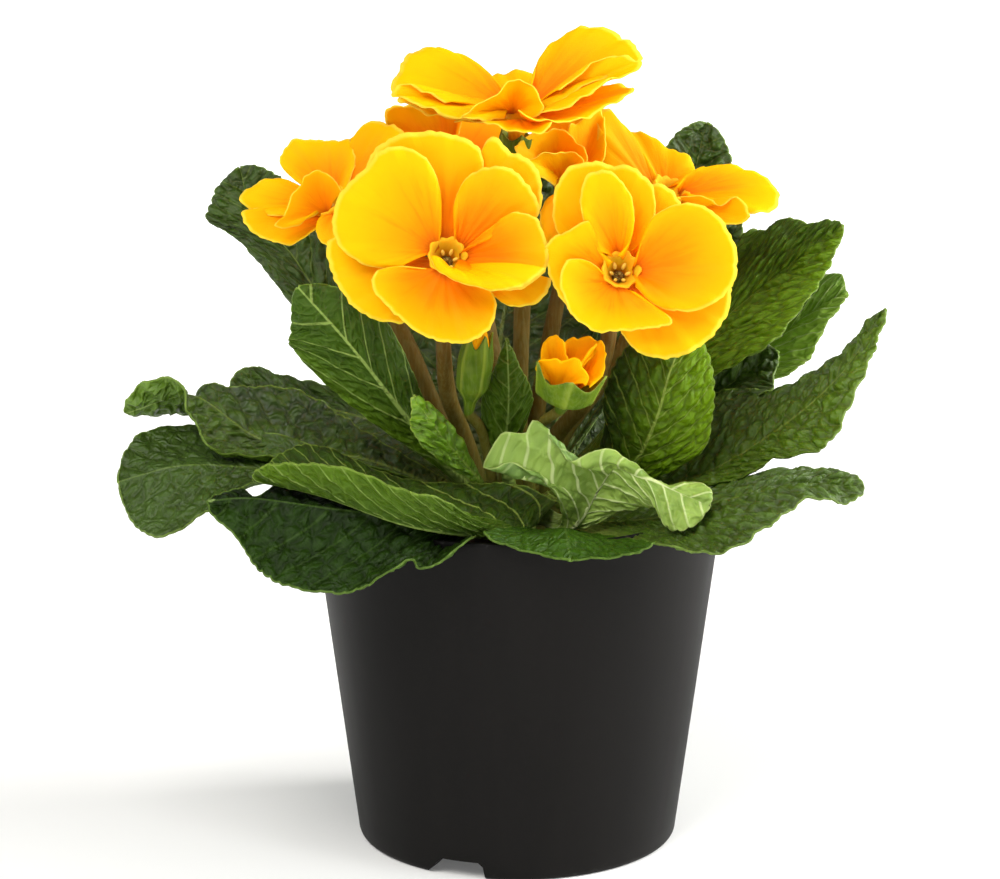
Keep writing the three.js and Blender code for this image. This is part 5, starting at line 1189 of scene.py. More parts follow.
def petal_sheet(rim, out, face, cup, layer, random):
    """A petal as a fan of rays from its claw on the throat to its rim."""
    side = np.cross(face, out)
    if (rim.at(1) - rim.at(0)) @ side < 0:
        side = -side
    u = np.linspace(0, 1, PETAL["rows"])[:, None, None]
    v = np.linspace(0, 1, PETAL["columns"])[None, :, None]
    claw = out * PETAL["claw_at"] + side * (v - 0.5) * PETAL["claw_width"]
    claw = claw + face * (0.3 - PETAL["layer"] * layer)
    edge = rim.at(v[0, :, 0])[None]
    sheet = claw + (edge - claw) * u + face * cup * 4 * u * (1 - u)
    arc = v * rim.length
    a, b, c, d = phases(random, 4)
    frill = waves(arc, (0.34, 8.3, a), (0.2, 4.6, b))
    ends = smooth(v * 6) * smooth((1 - v) * 6)
    crease = PETAL["crease"] * np.exp(-(((v - 0.5) / 0.09) ** 2)) * np.sin(math.pi * u)
    folds = waves(3.6 * v + 0.35 * np.sin(9 * v + a), (0.42, 1, c)) * u * (1.15 - u)
    fine_folds = waves(9 * v + 0.4 * np.sin(7 * v + c), (0.2, 1, b)) * np.sqrt(u) * (1 - u)
    curl = PETAL["curl"] * smooth((u - 0.84) / 0.16) ** 2
    rise = (frill * u**5 + folds + fine_folds) * ends
    sheet = sheet + face * (rise - crease * (1 if cup > 0 else -1) - curl)
    scallop = waves(arc, (0.12, 7.1, d), (0.12, 3.3, a), (0.1, 2.3, 1.8 * np.sin(arc / 3 + d)))
    return sheet + unit(edge) * (scallop * u**9 * ends), u, v


def heart_rim(heart, face):
    """The rim of a plain two-lobed petal: turned about the throat, so long and wide, lifted."""
    turn, length, width, lift = heart
    one, other = square_to(face)
    half = math.degrees(math.atan(width / 2 / (0.7 * length)))
    up = math.tan(math.radians(lift))
    marks = ((0.42, -1, 0.6), (0.75, -1, 1.2), (0.98, -0.62, 0.6), (1, -0.3, 0), (0.9, 0, -0.4),
             (1, 0.3, 0.2), (0.98, 0.62, 0.9), (0.75, 1, 0.4), (0.42, 1, -0.4))
    return [around(face * (length * share * up + high), one, other, length * share,
                   math.radians(turn + deg * half)) for share, deg, high in marks]


def spread_turns(turns):
    """Claws in the order of their petals, pushed apart where two would meet."""
    order, out, n = np.argsort(turns), list(turns), len(turns)
    least = TURN * 0.86 / max(n, 5)
    for _ in range(60):
        for k in range(n):
            i, j = order[k], order[(k + 1) % n]
            gap = out[j] - out[i] + (TURN if k == n - 1 else 0)
            if n > 1 and gap < least:
                out[i] -= (least - gap) / 2
                out[j] += (least - gap) / 2
    return out


def add_throat(shell, centre, face, ring):
    """The tube that carries the petals, its pleated ring and the cup inside it."""
    one, other = square_to(face)
    turn, loops = circle_turns(60), []
    lobes = np.cos(5 * turn)
    for r, z in THROAT_OUTSIDE + THROAT_INSIDE:
        scale = smooth((r - 2.9) / 1.4) * smooth((z + 0.6) / 1.8)
        round_by = 1 + scale * (0.03 * lobes + 0.05 * np.cos(10 * turn))
        high = z + scale * (0.15 * lobes + 0.55 * np.abs(lobes) - 0.3)
        wide = r * (ring if z > -5 else 1) * round_by
        loops.append(around(centre + face * high[:, None], one, other, wide, turn))
    # Per ring of the throat: its share of the ring's colour, of the green low in the ring and of the
    # painted shade at the bottom of the cup.
    values = [(0.2, 0.2, 0)] * len(THROAT_OUTSIDE)
    values += [(1, float(smooth((4.3 - r) / 1.3)), float(smooth((2.3 - r) / 0.7)))
               for r, _ in THROAT_INSIDE]
    rings(shell, loops, centre - face * TUBE_LENGTH, centre + face * CUP_FLOOR,
          throat=np.array(values)[:, None], petal=(0.35, 0.2, 0.3))


def build_corolla(bloom, material):
    """The petals of one bloom about its throat, grown together to one piece."""
    random, warmths = random_for(bloom), WARMTH[bloom["name"]]
    face, centre = unit(np.array(bloom["face"], float)), seen(bloom["at"])
    one, other = square_to(face)
    shapes = [(Run([seen_from(centre, p) for p in rim]), cup, layer)
              for cup, layer, rim in bloom["petals"]]
    for i, heart in enumerate(bloom.get("hearts", ())):
        shapes.append((Run(heart_rim(heart, face)), 1.2, i % 2))
    middles = [rim.at(0.5) for rim, _, _ in shapes]
    turns = spread_turns([math.atan2(m @ other, m @ one) for m in middles])
    shell = Shell()
    for i, ((rim, cup, layer), turn) in enumerate(zip(shapes, turns)):
        out = math.cos(turn) * one + math.sin(turn) * other
        sheet, u, v = petal_sheet(rim, out, face, cup, layer, random)
        value = np.broadcast_arrays(u[..., 0], v[..., 0] + 3.7 * i, warmths[i % len(warmths)])
        half = PETAL["thick"] / 2 * (1 - 0.55 * u[..., 0] ** 8)
        blade(shell, sheet + centre, half, half, petal=np.stack(value, -1))
    add_throat(shell, centre, face, bloom.get("ring", 1.0))
    return place(shell.piece(bloom["name"] + "_corolla", material), "petal", bloom["name"] + "_petals")


def anther_tree():
    """A ring of pollen sacs round the style, on a small disc in the throat."""
    tree, given = new_nodes_tree("anther_ring", Count=5, Seed=1)
    line = add(tree, "GeometryNodeMeshLine", {"Count": given.outputs["Count"],
                                              "Offset": (0.0, 0.0, 0.0)})
    step = add(tree, "ShaderNodeMath", {0: TURN, 1: given.outputs["Count"]}, operation="DIVIDE")
    turn = product(tree, add(tree, "GeometryNodeInputIndex").outputs[0], step.outputs[0])
    size = add(tree, "FunctionNodeRandomValue", {2: 0.86, 3: 1.14, "Seed": given.outputs["Seed"]},
               data_type="FLOAT")
    parts = [add(tree, "GeometryNodeInstanceOnPoints", {
        "Points": line.outputs[0], "Instance": given.outputs["Geometry"],
        "Rotation": add(tree, "ShaderNodeCombineXYZ", {2: turn}).outputs[0],
        "Scale": size.outputs[1]})]
    for sides, rows, top, foot, depth, z in ANTHER_CONES:
        cone = add(tree, "GeometryNodeMeshCone", {
            "Vertices": sides, "Side Segments": rows, "Fill Segments": 3, "Radius Top": top * MM,
            "Radius Bottom": foot * MM, "Depth": depth * MM})
        parts.append(add(tree, "GeometryNodeTransform", {0: cone.outputs[0], 1: (0.0, 0.0, z * MM)}))
    return end_tree(tree, joined(tree, *(part.outputs[0] for part in parts)), given.outputs["Material"])


def anther_material():
    """Ripe pollen, pale yellow and powdery; thread, disc and style are painted shade, dark brown."""
    material, tree = new_material("pollen")
    spot = add(tree, "ShaderNodeTexCoord").outputs["Object"]
    high = split(tree, "sac")[1]
    grain = add(tree, "ShaderNodeTexNoise",
                {"Vector": spot, "Scale": 3200.0, "Detail": 2.0}).outputs["Fac"]
    m = masks(tree, ripe=(high, 0.05, 0.4, 0.0, 1.0), speck=(grain, 0.4, 0.7, 0.0, 1.0))
    # Painted shade: the thread, the disc and the style deep in the throat are dark brown.
    skin = layered(tree, linear("#6A4E12"), (m["ripe"], linear("#EFC84A")),
                   (m["speck"], 0.3, linear("#FBE48A")))
    bump = add(tree, "ShaderNodeBump", {"Height": grain, "Strength": 0.4, "Distance": 0.1 * MM})
    end_material(tree, {
        "Base Color": skin, "Normal": bump.outputs[0], "Roughness": 0.75,
        "Specular IOR Level": 0.15, "Subsurface Weight": 0.1, "Subsurface Scale": 0.6 * MM,
    })
    return material


def build_eye(bloom, tree, material):
    """The ring of anthers in one bloom, set on the corolla's tube."""
    face, centre = unit(np.array(bloom["face"], float)), seen(bloom["at"])
    one, other = square_to(face)
    foot, top, thread = (np.array(ANTHER[key]) for key in ("foot", "top", "thread"))
    axis = unit(top - foot)
    side, back = square_to(axis)
    sac_at = 0.1 * np.linalg.norm(top - foot)
    profile = [(thread, 0.0), (thread, sac_at)]
    profile += [(ANTHER["radius"] * math.sin(a), sac_at + ANTHER["half"] * (1 - math.cos(a)))
                for a in np.linspace(0.4, 2.9, 8)]
    loops = [around(foot + axis * z, side, back, r, circle_turns(10)) for r, z in profile]
    shell = rings(Shell(), loops, foot, foot + axis * (profile[-1][1] + 0.04),
                  sac=np.linspace(0, 1, len(profile))[:, None, None])
    piece = shell.piece(bloom["name"] + "_anthers", material)
    finish_by_nodes(piece, tree, Count=ANTHER["count"], Seed=len(bloom["name"]), Material=material)
    grid = np.column_stack((one, other, face, centre * MM))
    piece.data.transform(Matrix([*map(list, grid), [0, 0, 0, 1]]))
    return place(piece, "eye", bloom["name"] + "_eye")


# ---------------------------------------------------------------- stalks, calyces and buds
def stalk_material():
    """Hairy flower stalk and calyx: a dull downy green skin with paler ribs, flushed with
    brown-red down the stalk where light reaches it."""
    material, tree = new_material("downy_stalk")
    _, run, rib, flush = split(tree, "stem")
    spot = add(tree, "ShaderNodeTexCoord").outputs["Object"]
    soft = add(tree, "ShaderNodeTexNoise",
               {"Vector": spot, "Scale": 160.0, "Detail": 3.0}).outputs["Fac"]
    drawn = add(tree, "ShaderNodeMapping", {"Vector": spot, "Scale": (1.0, 1.0, 0.08)}).outputs[0]
    lines = add(tree, "ShaderNodeTexNoise",
                {"Vector": drawn, "Scale": 1500.0, "Detail": 2.0}).outputs["Fac"]
    m = masks(tree, cup=(run, 0.97, 1.03, 0.0, 1.0), low=(run, 0.0, 0.3, 1.0, 0.0),
              soft=(soft, 0.35, 0.65, 0.0, 1.0), rib=(rib, 0.3, 0.95, 0.0, 1.0),
              lines=(lines, 0.4, 0.65, 0.0, 1.0), inner=(run, 1.9, 2.1, 0.0, 1.0))
    stem = layered(tree, linear("#5C601C"), (m["soft"], 0.5, linear("#7A742E")),
                   (flush, 0.9, linear("#5E3012")), (m["low"], 0.4, linear("#7E8E3A")))
    cup = layered(tree, linear("#46600C"), (m["soft"], 0.6, linear("#6A8218")),
                  (m["rib"], 0.55, linear("#96A63A")), (m["inner"], linear("#86963A")))
    skin = layered(tree, stem, (m["cup"], cup), (m["lines"], 0.08, linear("#A8AE74")))
    bump = add(tree, "ShaderNodeBump", {"Height": lines, "Strength": 0.4, "Distance": 0.2 * MM})
    end_material(tree, {
        "Base Color": skin, "Normal": bump.outputs[0], "Roughness": 0.65,
        "Specular IOR Level": 0.1, "Subsurface Weight": 0.12, "Subsurface Scale": 1.0 * MM,
    })
    return material


def stalk_loops(run, one, radius, flush, turn):
    """Rings up a stalk and what its skin needs to know: the share of the way up and the flush."""
    s = np.linspace(1, 0, 46)
    heading, side, _ = run.frames(s, one)
    loops, values = [], []
    for share, t, a in zip(s, -heading, side):
        swell = 1 + 0.04 * math.sin(19 * share) + 0.10 * math.exp(-((share / 0.03) ** 2))
        r = radius * (0.82 + 0.18 * share) * swell * (1 + 0.03 * np.cos(3 * turn))
        loops.append(around(run.at(share), a, np.cross(t, a), r, turn))
        values.append([(1 - share) * 0.96, 0, flush * (1 - 0.7 * share)])
    return loops, values


def calyx_loops(calyx, top, axis, radius, turn):
    """Rings up the outside of a calyx to its pointed teeth and down its lining."""
    wide, deep, close = calyx["wide"], calyx["deep"], calyx["close"]
    one, other = square_to(axis)
    five = (5 * (turn - math.radians(calyx["twist"])) / TURN) % 1
    valley = np.abs(five - 0.5) * 2
    lift = calyx["tooth"] * (1.5 * valley**1.5 - 0.9)
    rib = smooth((valley - 0.66) / 0.34)
    loops, values = [], []
    for h in np.concatenate((np.linspace(-0.96, -0.72, 6), np.linspace(-0.6, 0, 9))):
        flare = smooth((h + 1.0) / 0.28)
        belly = 0.86 + 0.19 * (h + 0.72) / 0.72 - close * smooth((h + 0.45) / 0.45)
        r = radius + (wide * belly - radius) * flare
        r = r * (1 + (0.07 * rib - 0.02) * flare)
        up = h * deep + lift * smooth((h + 0.75) / 0.75)
        loops.append(around(top + axis * up[:, None], one, other, r, turn))
        values.append([1.2 + 0.5 * (1 + h), 0, 0])
    for h in np.linspace(0, -1, 8):
        belly = 1.05 + 0.2 * h - close * smooth((h + 0.45) / 0.45)
        r = (wide * belly - CALYX_WALL) * (1 + 0.05 * rib)
        r = r + (calyx["inner"] - r) * smooth((-h - 0.55) / 0.45)
        up = 0.05 + CALYX_LINING * h * deep + lift * smooth((h + 0.75) / 0.75)
        loops.append(around(top + axis * up[:, None], one, other, r, turn))
        values.append([2.2, 0, 0])
    return loops, values, rib


def build_stalk(plant, top, axis, calyx, radius, flush, material):
    """A ribbed calyx with pointed teeth, in one run with the stalk that carries it."""
    base = top - axis * (calyx["deep"] + STALK["neck"])
    foot = np.array((*plant["foot"], STALK["foot"]), float)
    run, turn = Run([base, *(seen(m) for m in plant["stalk"]), foot]), circle_turns(40)
    stalk, values = stalk_loops(run, square_to(axis)[0], radius, flush, turn)
    cup, cup_values, rib = calyx_loops(calyx, top, axis, radius, turn)
    loops = stalk + cup
    stem = np.array(values + cup_values, float)[:, None]
    stem = np.broadcast_to(stem, (len(loops), len(turn), 3)).copy()
    stem[len(stalk):, :, 1] = rib
    lining = top - axis * (CALYX_LINING * calyx["deep"])
    shell = rings(Shell(), loops, run.at(1.0), lining, stem=stem)
    return place(shell.piece(plant["name"] + "_stem", material), "stalk", plant["name"] + "_stalk")


def down_tree():
    """Fine pointed hairs that stand on a stalk and its calyx."""
    tree, given = new_nodes_tree("fine_down", **{
        "Hair length": 0.7 * MM, "Density": 1.2e6, "Seed": 0})
    strewn = add(tree, "GeometryNodeDistributePointsOnFaces", {
        "Mesh": given.outputs["Geometry"], "Density": given.outputs["Density"],
        "Seed": given.outputs["Seed"]})
    hair = add(tree, "GeometryNodeMeshCone", {
        "Vertices": 3, "Side Segments": 1, "Radius Top": 0.004 * MM, "Radius Bottom": 0.035 * MM,
        "Depth": given.outputs["Hair length"]})
    lean = add(tree, "FunctionNodeRandomValue",
               {0: (-0.5, -0.5, -3.0), 1: (0.5, 0.5, 3.0), "Seed": 4}, data_type="FLOAT_VECTOR")
    turned = add(tree, "FunctionNodeRotateRotation",
                 {0: strewn.outputs["Rotation"], 1: lean.outputs[0]}, rotation_space="LOCAL")
    size = add(tree, "FunctionNodeRandomValue", {2: 0.4, 3: 1.3, "Seed": 5}, data_type="FLOAT")
    stood = add(tree, "GeometryNodeInstanceOnPoints", {
        "Points": strewn.outputs[0], "Instance": hair.outputs[0], "Rotation": turned.outputs[0],
        "Scale": size.outputs[1]})
    both = joined(tree, stood.outputs[0], given.outputs["Geometry"])
    return end_tree(tree, both, given.outputs["Material"])


def furled_sheet(k, radius, tall):
    """One of five petals furled round a bud's axis: how far round, how far out and how high."""
    u = np.linspace(0, 1, 22)[:, None]
    v = np.linspace(-1, 1, 24)[None]
    z = -0.5 * tall + tall * 1.04 * u * (1 - 0.13 * v * v * u)
    swell = 0.32 + 0.5 * np.sin(math.pi * (0.12 + 0.62 * u)) - 0.42 * smooth((u - 0.5) / 0.5)
    turn = math.radians(72 * k) + 0.9 * v * (1 - 0.25 * u) + 0.9 * u
    out = 0.85 * radius * np.maximum(swell + 0.06 * v, 0.05) + 0.2 * np.sin(3 * v + k) * u
    return u, v, z, out, turn


def build_bud(bud, material):
    """Petals still folded over each other, or furled to a point like a closed shutter."""
    random = random_for(bud)
    axis, centre = unit(np.array(bud["axis"], float)), seen(bud["at"])
    one, other = square_to(axis)
    radius, tall = bud["radius"], bud["tall"]
    shell = Shell()
    foot = centre - axis * 0.45 * tall
    for cup, layer, marks in bud.get("petals", ()):
        rim = Run([seen_from(foot, mark) for mark in marks])
        out = unit(rim.at(0.5) - axis * (rim.at(0.5) @ axis))
        sheet, u, v = petal_sheet(rim, out, axis, cup, layer, random)
        value = np.broadcast_arrays(0.3 + 0.6 * u[..., 0], v[..., 0] + layer, 0.75)
        blade(shell, sheet + foot, 0.25, 0.25, petal=np.stack(value, -1))
    for k in range(0 if "petals" in bud else 5):
        u, v, z, out, turn = furled_sheet(k, radius, tall)
        sheet = around(centre + axis * z[..., None], one, other, out, turn)
        value = np.broadcast_arrays(0.3 + 0.5 * u, 0.5 + 0.5 * v, 0.8)
        blade(shell, sheet, 0.3, 0.3, petal=np.stack(value, -1))
    core = [around(centre + axis * (z * tall), one, other, radius * share, circle_turns(24))
            for z, share in ((-0.5, 0.16), (-0.4, 0.3), (-0.3, 0.38), (-0.2, 0.3), (-0.12, 0.12))]
    rings(shell, core, centre - axis * 0.52 * tall, centre - axis * 0.11 * tall, petal=(0.1, 0.5, 1.2))
    return place(shell.piece(bud["name"] + "_furled", material), "petal", bud["name"] + "_petals")


# ---------------------------------------------------------------- pot and soil
def pot_material():
    """Injection-moulded polypropylene: matt charcoal with a faint pebble from the mould and a
    soft wide sheen; a painted highlight lightens it in patches along the rim and the foot."""
    look = bpy.context.scene.primrose_pot
    material, tree = new_material("moulded_polypropylene")
    spot = add(tree, "ShaderNodeTexCoord").outputs["Object"]
    pebble = add(tree, "ShaderNodeTexNoise",
                 {"Vector": spot, "Scale": 1900.0, "Detail": 3.0}).outputs["Fac"]
    drawn = add(tree, "ShaderNodeMapping", {"Vector": spot, "Scale": (1.0, 1.0, 0.12)}).outputs[0]
    flow = add(tree, "ShaderNodeTexNoise",
               {"Vector": drawn, "Scale": 60.0, "Detail": 4.0}).outputs["Fac"]
    scuffs = add(tree, "ShaderNodeTexNoise", {"Vector": spot, "Scale": 240.0, "Detail": 6.0,
                                              "Roughness": 0.7}).outputs["Fac"]
    height = add(tree, "ShaderNodeSeparateXYZ", {0: spot}).outputs["Z"]
    m = masks(tree, flow=(flow, 0.3, 0.7, 0.0, 1.0), scuff=(scuffs, 0.56, 0.72, 0.0, 1.0),
              rim=(height, look.height - 3 * MM, look.height - 0.6 * MM, 0.0, 1.0),
              foot=(height, 0.0, 3 * MM, 1.0, 0.0),
              rough=(flow, 0.3, 0.7, look.roughness - 0.05, look.roughness + 0.05))
    colour = tuple(look.colour) + (1.0,)
    # Painted highlight: lighter grey in patches along the rim and the foot, where these edges catch the
    # light.
    skin = layered(tree, colour, (m["flow"], 0.25, linear("#1D1B19")),
                   (m["scuff"], m["rim"], 0.5, linear("#4A4745")),
                   (m["scuff"], m["foot"], 0.6, linear("#55514D")))
    bump = add(tree, "ShaderNodeBump", {"Height": pebble, "Strength": 0.16, "Distance": 0.12 * MM})
    end_material(tree, {"Base Color": skin, "Normal": bump.outputs[0], "Roughness": m["rough"],
                        "Specular IOR Level": 0.08})
    return material


def cut_away(piece, cutters):
    """Takes the cutters' space out of a piece."""
    for cutter in cutters:
        modifier = piece.modifiers.new("cut", "BOOLEAN")
        modifier.operation, modifier.solver, modifier.object = "DIFFERENCE", "EXACT", cutter
    graph = bpy.context.evaluated_depsgraph_get()
    mesh = bpy.data.meshes.new_from_object(piece.evaluated_get(graph), depsgraph=graph)
    old, piece.data = piece.data, mesh
    piece.modifiers.clear()
    bpy.data.meshes.remove(old)
    for cutter in cutters:
        bpy.data.objects.remove(cutter)


def pot_sizes(look):
    """Rim and base radius, height, wall, foot and floor of the pot in mm."""
    keys = ("rim_radius", "base_radius", "height", "wall", "foot", "floor")
    return [getattr(look, key) / MM for key in keys]


def pot_profile(rim, base, tall, wall, foot, floor):
    """Radius and height from the middle of the foot, up the outside and down the inside."""
    side = [(base + 0.1 + (rim - base - 0.1) * k, 1.6 + (tall - 4.2) * k)
            for k in np.linspace(0.05, 1, 20)]
    return [
        (10, 0), (12.5, foot), (32, foot), (33.5, 0), (base - 1.6, 0), (base - 0.9, 0.12),
        (base - 0.4, 0.5), (base - 0.1, 1.0), (base + 0.1, 1.6), *side,
        (rim, tall - 1.4), (rim, tall - 0.5), (rim - 0.15, tall - 0.15), (rim - 0.5, tall),
        (rim - wall + 0.4, tall), (rim - wall + 0.1, tall - 0.1), (rim - wall, tall - 0.4),
        (base + 0.1 - wall, foot + floor + 1.6), (base - 1.4 - wall, foot + floor),
        (13.6, foot + floor), (11.4, floor),
    ]


def notch_block(wide, high, turn):
    """A block across the foot, with the outline of a drain notch."""
    outline = ((-wide / 2, -1), (wide / 2, -1), (wide / 2 - 0.5, high - 1.2), (wide / 2 - 1.7, high),
               (-wide / 2 + 6, high), (-wide / 2 + 4.6, high - 0.7))
    away = np.array((math.cos(turn), math.sin(turn), 0))
    aside = np.array((-math.sin(turn), math.cos(turn), 0))
    ends = [[away * far + aside * p + UP * q for p, q in outline] for far in DRAIN["notch"]]
    n = len(outline)
    return Shell().add(np.concatenate(ends), [
        [[k, (k + 1) % n, n + (k + 1) % n, n + k] for k in range(n)],
        [list(range(n))[::-1], list(range(n, 2 * n))]])


def hole_plug(foot, turn):
    """A plug through the pot's floor in the place of a drain hole."""
    middle = np.array((DRAIN["hole_at"] * math.cos(turn), DRAIN["hole_at"] * math.sin(turn), 0))
    ends = [middle + UP * z for z in (foot - 3, foot + 5)]
    return rings(Shell(), [around(end, *FLAT, DRAIN["hole_radius"], circle_turns(32)) for end in ends],
                 *ends)


def build_pot(material):
    """The pot, turned from its profile, with drain notches and holes cut out."""
    look = bpy.context.scene.primrose_pot
    sizes = pot_sizes(look)
    foot, floor = sizes[-2:]
    shell = rings(Shell(), lathe(pot_profile(*sizes), 160), np.zeros(3), UP * floor)
    piece, cutters = shell.piece("pot_moulded", material), []
    for i in range(DRAIN["count"]):
        turn = look.notch_turn + i * math.radians(360 / DRAIN["count"])
        notch = notch_block(look.notch_width / MM, look.notch_height / MM, turn)
        hole = hole_plug(foot, turn + math.radians(180 / DRAIN["count"]))
        cutters += [notch.piece("notch", material), hole.piece("drain", material)]
    for cutter in cutters:
        mend(cutter)
    cut_away(piece, cutters)
    for polygon in piece.data.polygons:
        polygon.use_smooth = True
    bpy.context.view_layer.objects.active = piece
    piece.data.set_sharp_from_angle(angle=math.radians(32))
    return place(piece, "pot", "pot")


def soil_material():
    """Peat: dark, dry-matt fibre and crumb, with some paler straw-brown bits."""
    material, tree = new_material("peat")
    spot = add(tree, "ShaderNodeTexCoord").outputs["Object"]
    crumb = add(tree, "ShaderNodeTexVoronoi", {"Vector": spot, "Scale": 420.0})
    fine = add(tree, "ShaderNodeTexNoise",
               {"Vector": spot, "Scale": 900.0, "Detail": 5.0}).outputs["Fac"]
    shade = add(tree, "ShaderNodeSeparateColor", {0: crumb.outputs["Color"]}).outputs[0]
    m = masks(tree, pale=(shade, 0.82, 0.95, 0.0, 1.0), fine=(fine, 0.35, 0.65, 0.0, 1.0))
    skin = layered(tree, linear("#1D1410"), (m["fine"], linear("#3B2A1E")),
                   (m["pale"], 0.5, linear("#6B5138")))
    bump = add(tree, "ShaderNodeBump", {"Height": fine, "Strength": 0.8, "Distance": 0.6 * MM})
    end_material(tree, {"Base Color": skin, "Normal": bump.outputs[0], "Roughness": 0.95,
                        "Specular IOR Level": 0.2})
    return material


def crumb_tree():
    """Crumbs of peat, strewn over the top of the soil."""
    tree, given = new_nodes_tree("strewn_crumbs", **{
        "Crumb size": 1.0 * MM, "Density": 90000.0, "Seed": 3})
    normal = add(tree, "GeometryNodeInputNormal").outputs[0]
    up = add(tree, "ShaderNodeSeparateXYZ", {0: normal}).outputs["Z"]
    top = add(tree, "ShaderNodeMath", {0: up, 1: 0.5}, operation="GREATER_THAN").outputs[0]
    strewn = add(tree, "GeometryNodeDistributePointsOnFaces", {
        "Mesh": given.outputs["Geometry"], "Selection": top, "Density": given.outputs["Density"],
        "Seed": given.outputs["Seed"]})
    crumb = add(tree, "GeometryNodeMeshIcoSphere",
                {"Radius": given.outputs["Crumb size"], "Subdivisions": 2})
    where = add(tree, "GeometryNodeInputPosition").outputs[0]
    lumps = add(tree, "ShaderNodeTexNoise",
                {"Vector": where, "Scale": 900.0, "Detail": 1.0}).outputs["Fac"]
    share = add(tree, "ShaderNodeMath", {0: lumps, 1: 0.6}, operation="SUBTRACT").outputs[0]
    dent = add(tree, "ShaderNodeVectorMath", {0: where, "Scale": share},
               operation="SCALE").outputs[0]
    rough = add(tree, "GeometryNodeSetPosition", {"Geometry": crumb.outputs[0], "Offset": dent})
    size, turn = (add(tree, "FunctionNodeRandomValue", values, data_type="FLOAT_VECTOR") for values in (
        {0: (0.35, 0.35, 0.3), 1: (1.5, 1.3, 0.9)},
        {0: (0.0, 0.0, 0.0), 1: (6.28, 6.28, 6.28), "Seed": 9}))
    crumbs = add(tree, "GeometryNodeInstanceOnPoints", {
        "Points": strewn.outputs[0], "Instance": rough.outputs[0], "Rotation": turn.outputs[0],
        "Scale": size.outputs[0]})
    both = joined(tree, crumbs.outputs[0], given.outputs["Geometry"])
    return end_tree(tree, both, given.outputs["Material"])


def build_soil(material):
    """A block of peat that fills the pot round the crown, lumpy on top and strewn with crumbs."""
    soil = bpy.context.scene.primrose_soil
    rim, base, tall, wall, foot, floor = pot_sizes(bpy.context.scene.primrose_pot)
    start, top, well = foot + floor + 1.6, SOIL["top"], SOIL["well"]

    def inner(z):
        share = (z - start) / (tall - start)
        return base + 0.1 - wall + (rim - base - 0.1) * share - SOIL["gap"]

    low, shoulder = top - SOIL["deep"], top - SOIL["bevel"]
    profile = [(well, low), (inner(low), low), (inner(shoulder), shoulder)]
    profile += [(r, top) for r in np.linspace(inner(top) - 0.6, well, 24)]
    turn, loops = circle_turns(72), []
    for r, z in profile:
        x, y = r * np.cos(turn), r * np.sin(turn)
        bumpy = 1.0 if z == top else 0.0
        lumps = 0.8 * np.sin(0.31 * x + 1.3) * np.cos(0.27 * y) + 0.45 * np.sin(0.7 * y + 0.2 * x)
        lumps = lumps + 0.3 * np.sin(1.7 * x + 0.9 * y) * np.cos(1.5 * y) - 0.9 * smooth((r - 42) / 5)
        loops.append(np.stack((x, y, z + bumpy * lumps), -1))
    loops.append(loops[0])
    piece = rings(Shell(), loops).piece("soil_peat", material)
    mend(piece)
    finish_by_nodes(piece, crumb_tree(), **{
        "Crumb size": soil.crumb, "Density": soil.density, "Seed": 3, "Material": material})
    return place(piece, "soil", "soil")


def build_crown(material):
    """The short root stock, scarred by old leaf bases."""
    radius, low, high = CROWN["radius"], CROWN["low"], CROWN["high"]
    profile = ((0.5, low), (0.8, low + 1.5), (0.94, low + 4), (1.0, low + 9), (0.99, high - 6),
               (0.94, high - 3.5), (0.86, high - 1.8), (0.7, high - 0.8), (0.45, high - 0.3),
               (0.2, high - 0.1))
    turn, scarred = circle_turns(72), []
    for share, z in profile:
        scar = 1 + 0.035 * np.sin(9 * turn + 0.5 * z) + 0.02 * np.sin(23 * turn - 1.1 * z)
        scarred.append((radius * share * scar, z))
    shell = rings(Shell(), lathe(scarred, 72), UP * low, UP * high, stem=(0.1, 0, 0.35))
    return place(shell.piece("crown_stock", material), "crown", "crown")


# ---------------------------------------------------------------- stage
def paper_material(look):
    """Matt white paper, lit from below further out, so that it stays evenly pale to the wall."""
    material, tree = new_material("matt_backlit_paper")
    spot = add(tree, "ShaderNodeTexCoord").outputs["Object"]
    away = add(tree, "ShaderNodeVectorMath", {0: spot}, operation="LENGTH").outputs["Value"]
    glow = masks(tree, glow=(away, 0.08, 0.9, 0.1, look.glow))["glow"]
    end_material(tree, {"Base Color": tuple(look.floor_colour) + (1.0,), "Roughness": 0.9,
                        "Emission Color": (1.0, 1.0, 1.0, 1.0), "Emission Strength": glow})
    return material


def build_floor(look):
    """A pale round table top that curves up into a low wall, far out on every side."""
    flat, bend = FLOOR["flat"], FLOOR["bend"]
    line = [(flat + bend, FLOOR["wall"])]
    line += [(flat + bend * math.sin(a), bend * (1 - math.cos(a)))
             for a in np.linspace(math.pi / 2, 0, 16)]
    line += [(flat * share, 0.0) for share in (0.65, 0.3, 0.1)]
    loops = lathe([(r / MM, z / MM) for r, z in line], 96)
    floor = rings(Shell(), loops, None, np.zeros(3)).piece("stage_floor", paper_material(look))


def softbox(name, place_at, aim, size, power, colour):
    """A rectangular soft light that faces its aim."""
    light = bpy.data.lights.new(name, "AREA")
    light.shape, light.size, light.size_y = "RECTANGLE", size[0], size[1]
    light.energy, light.color = power, colour
    lamp = bpy.data.objects.new(name, light)
    lamp.location = place_at
    lamp.rotation_euler = (Vector(aim) - Vector(place_at)).to_track_quat("-Z", "Y").to_euler()
    bpy.context.scene.collection.objects.link(lamp)


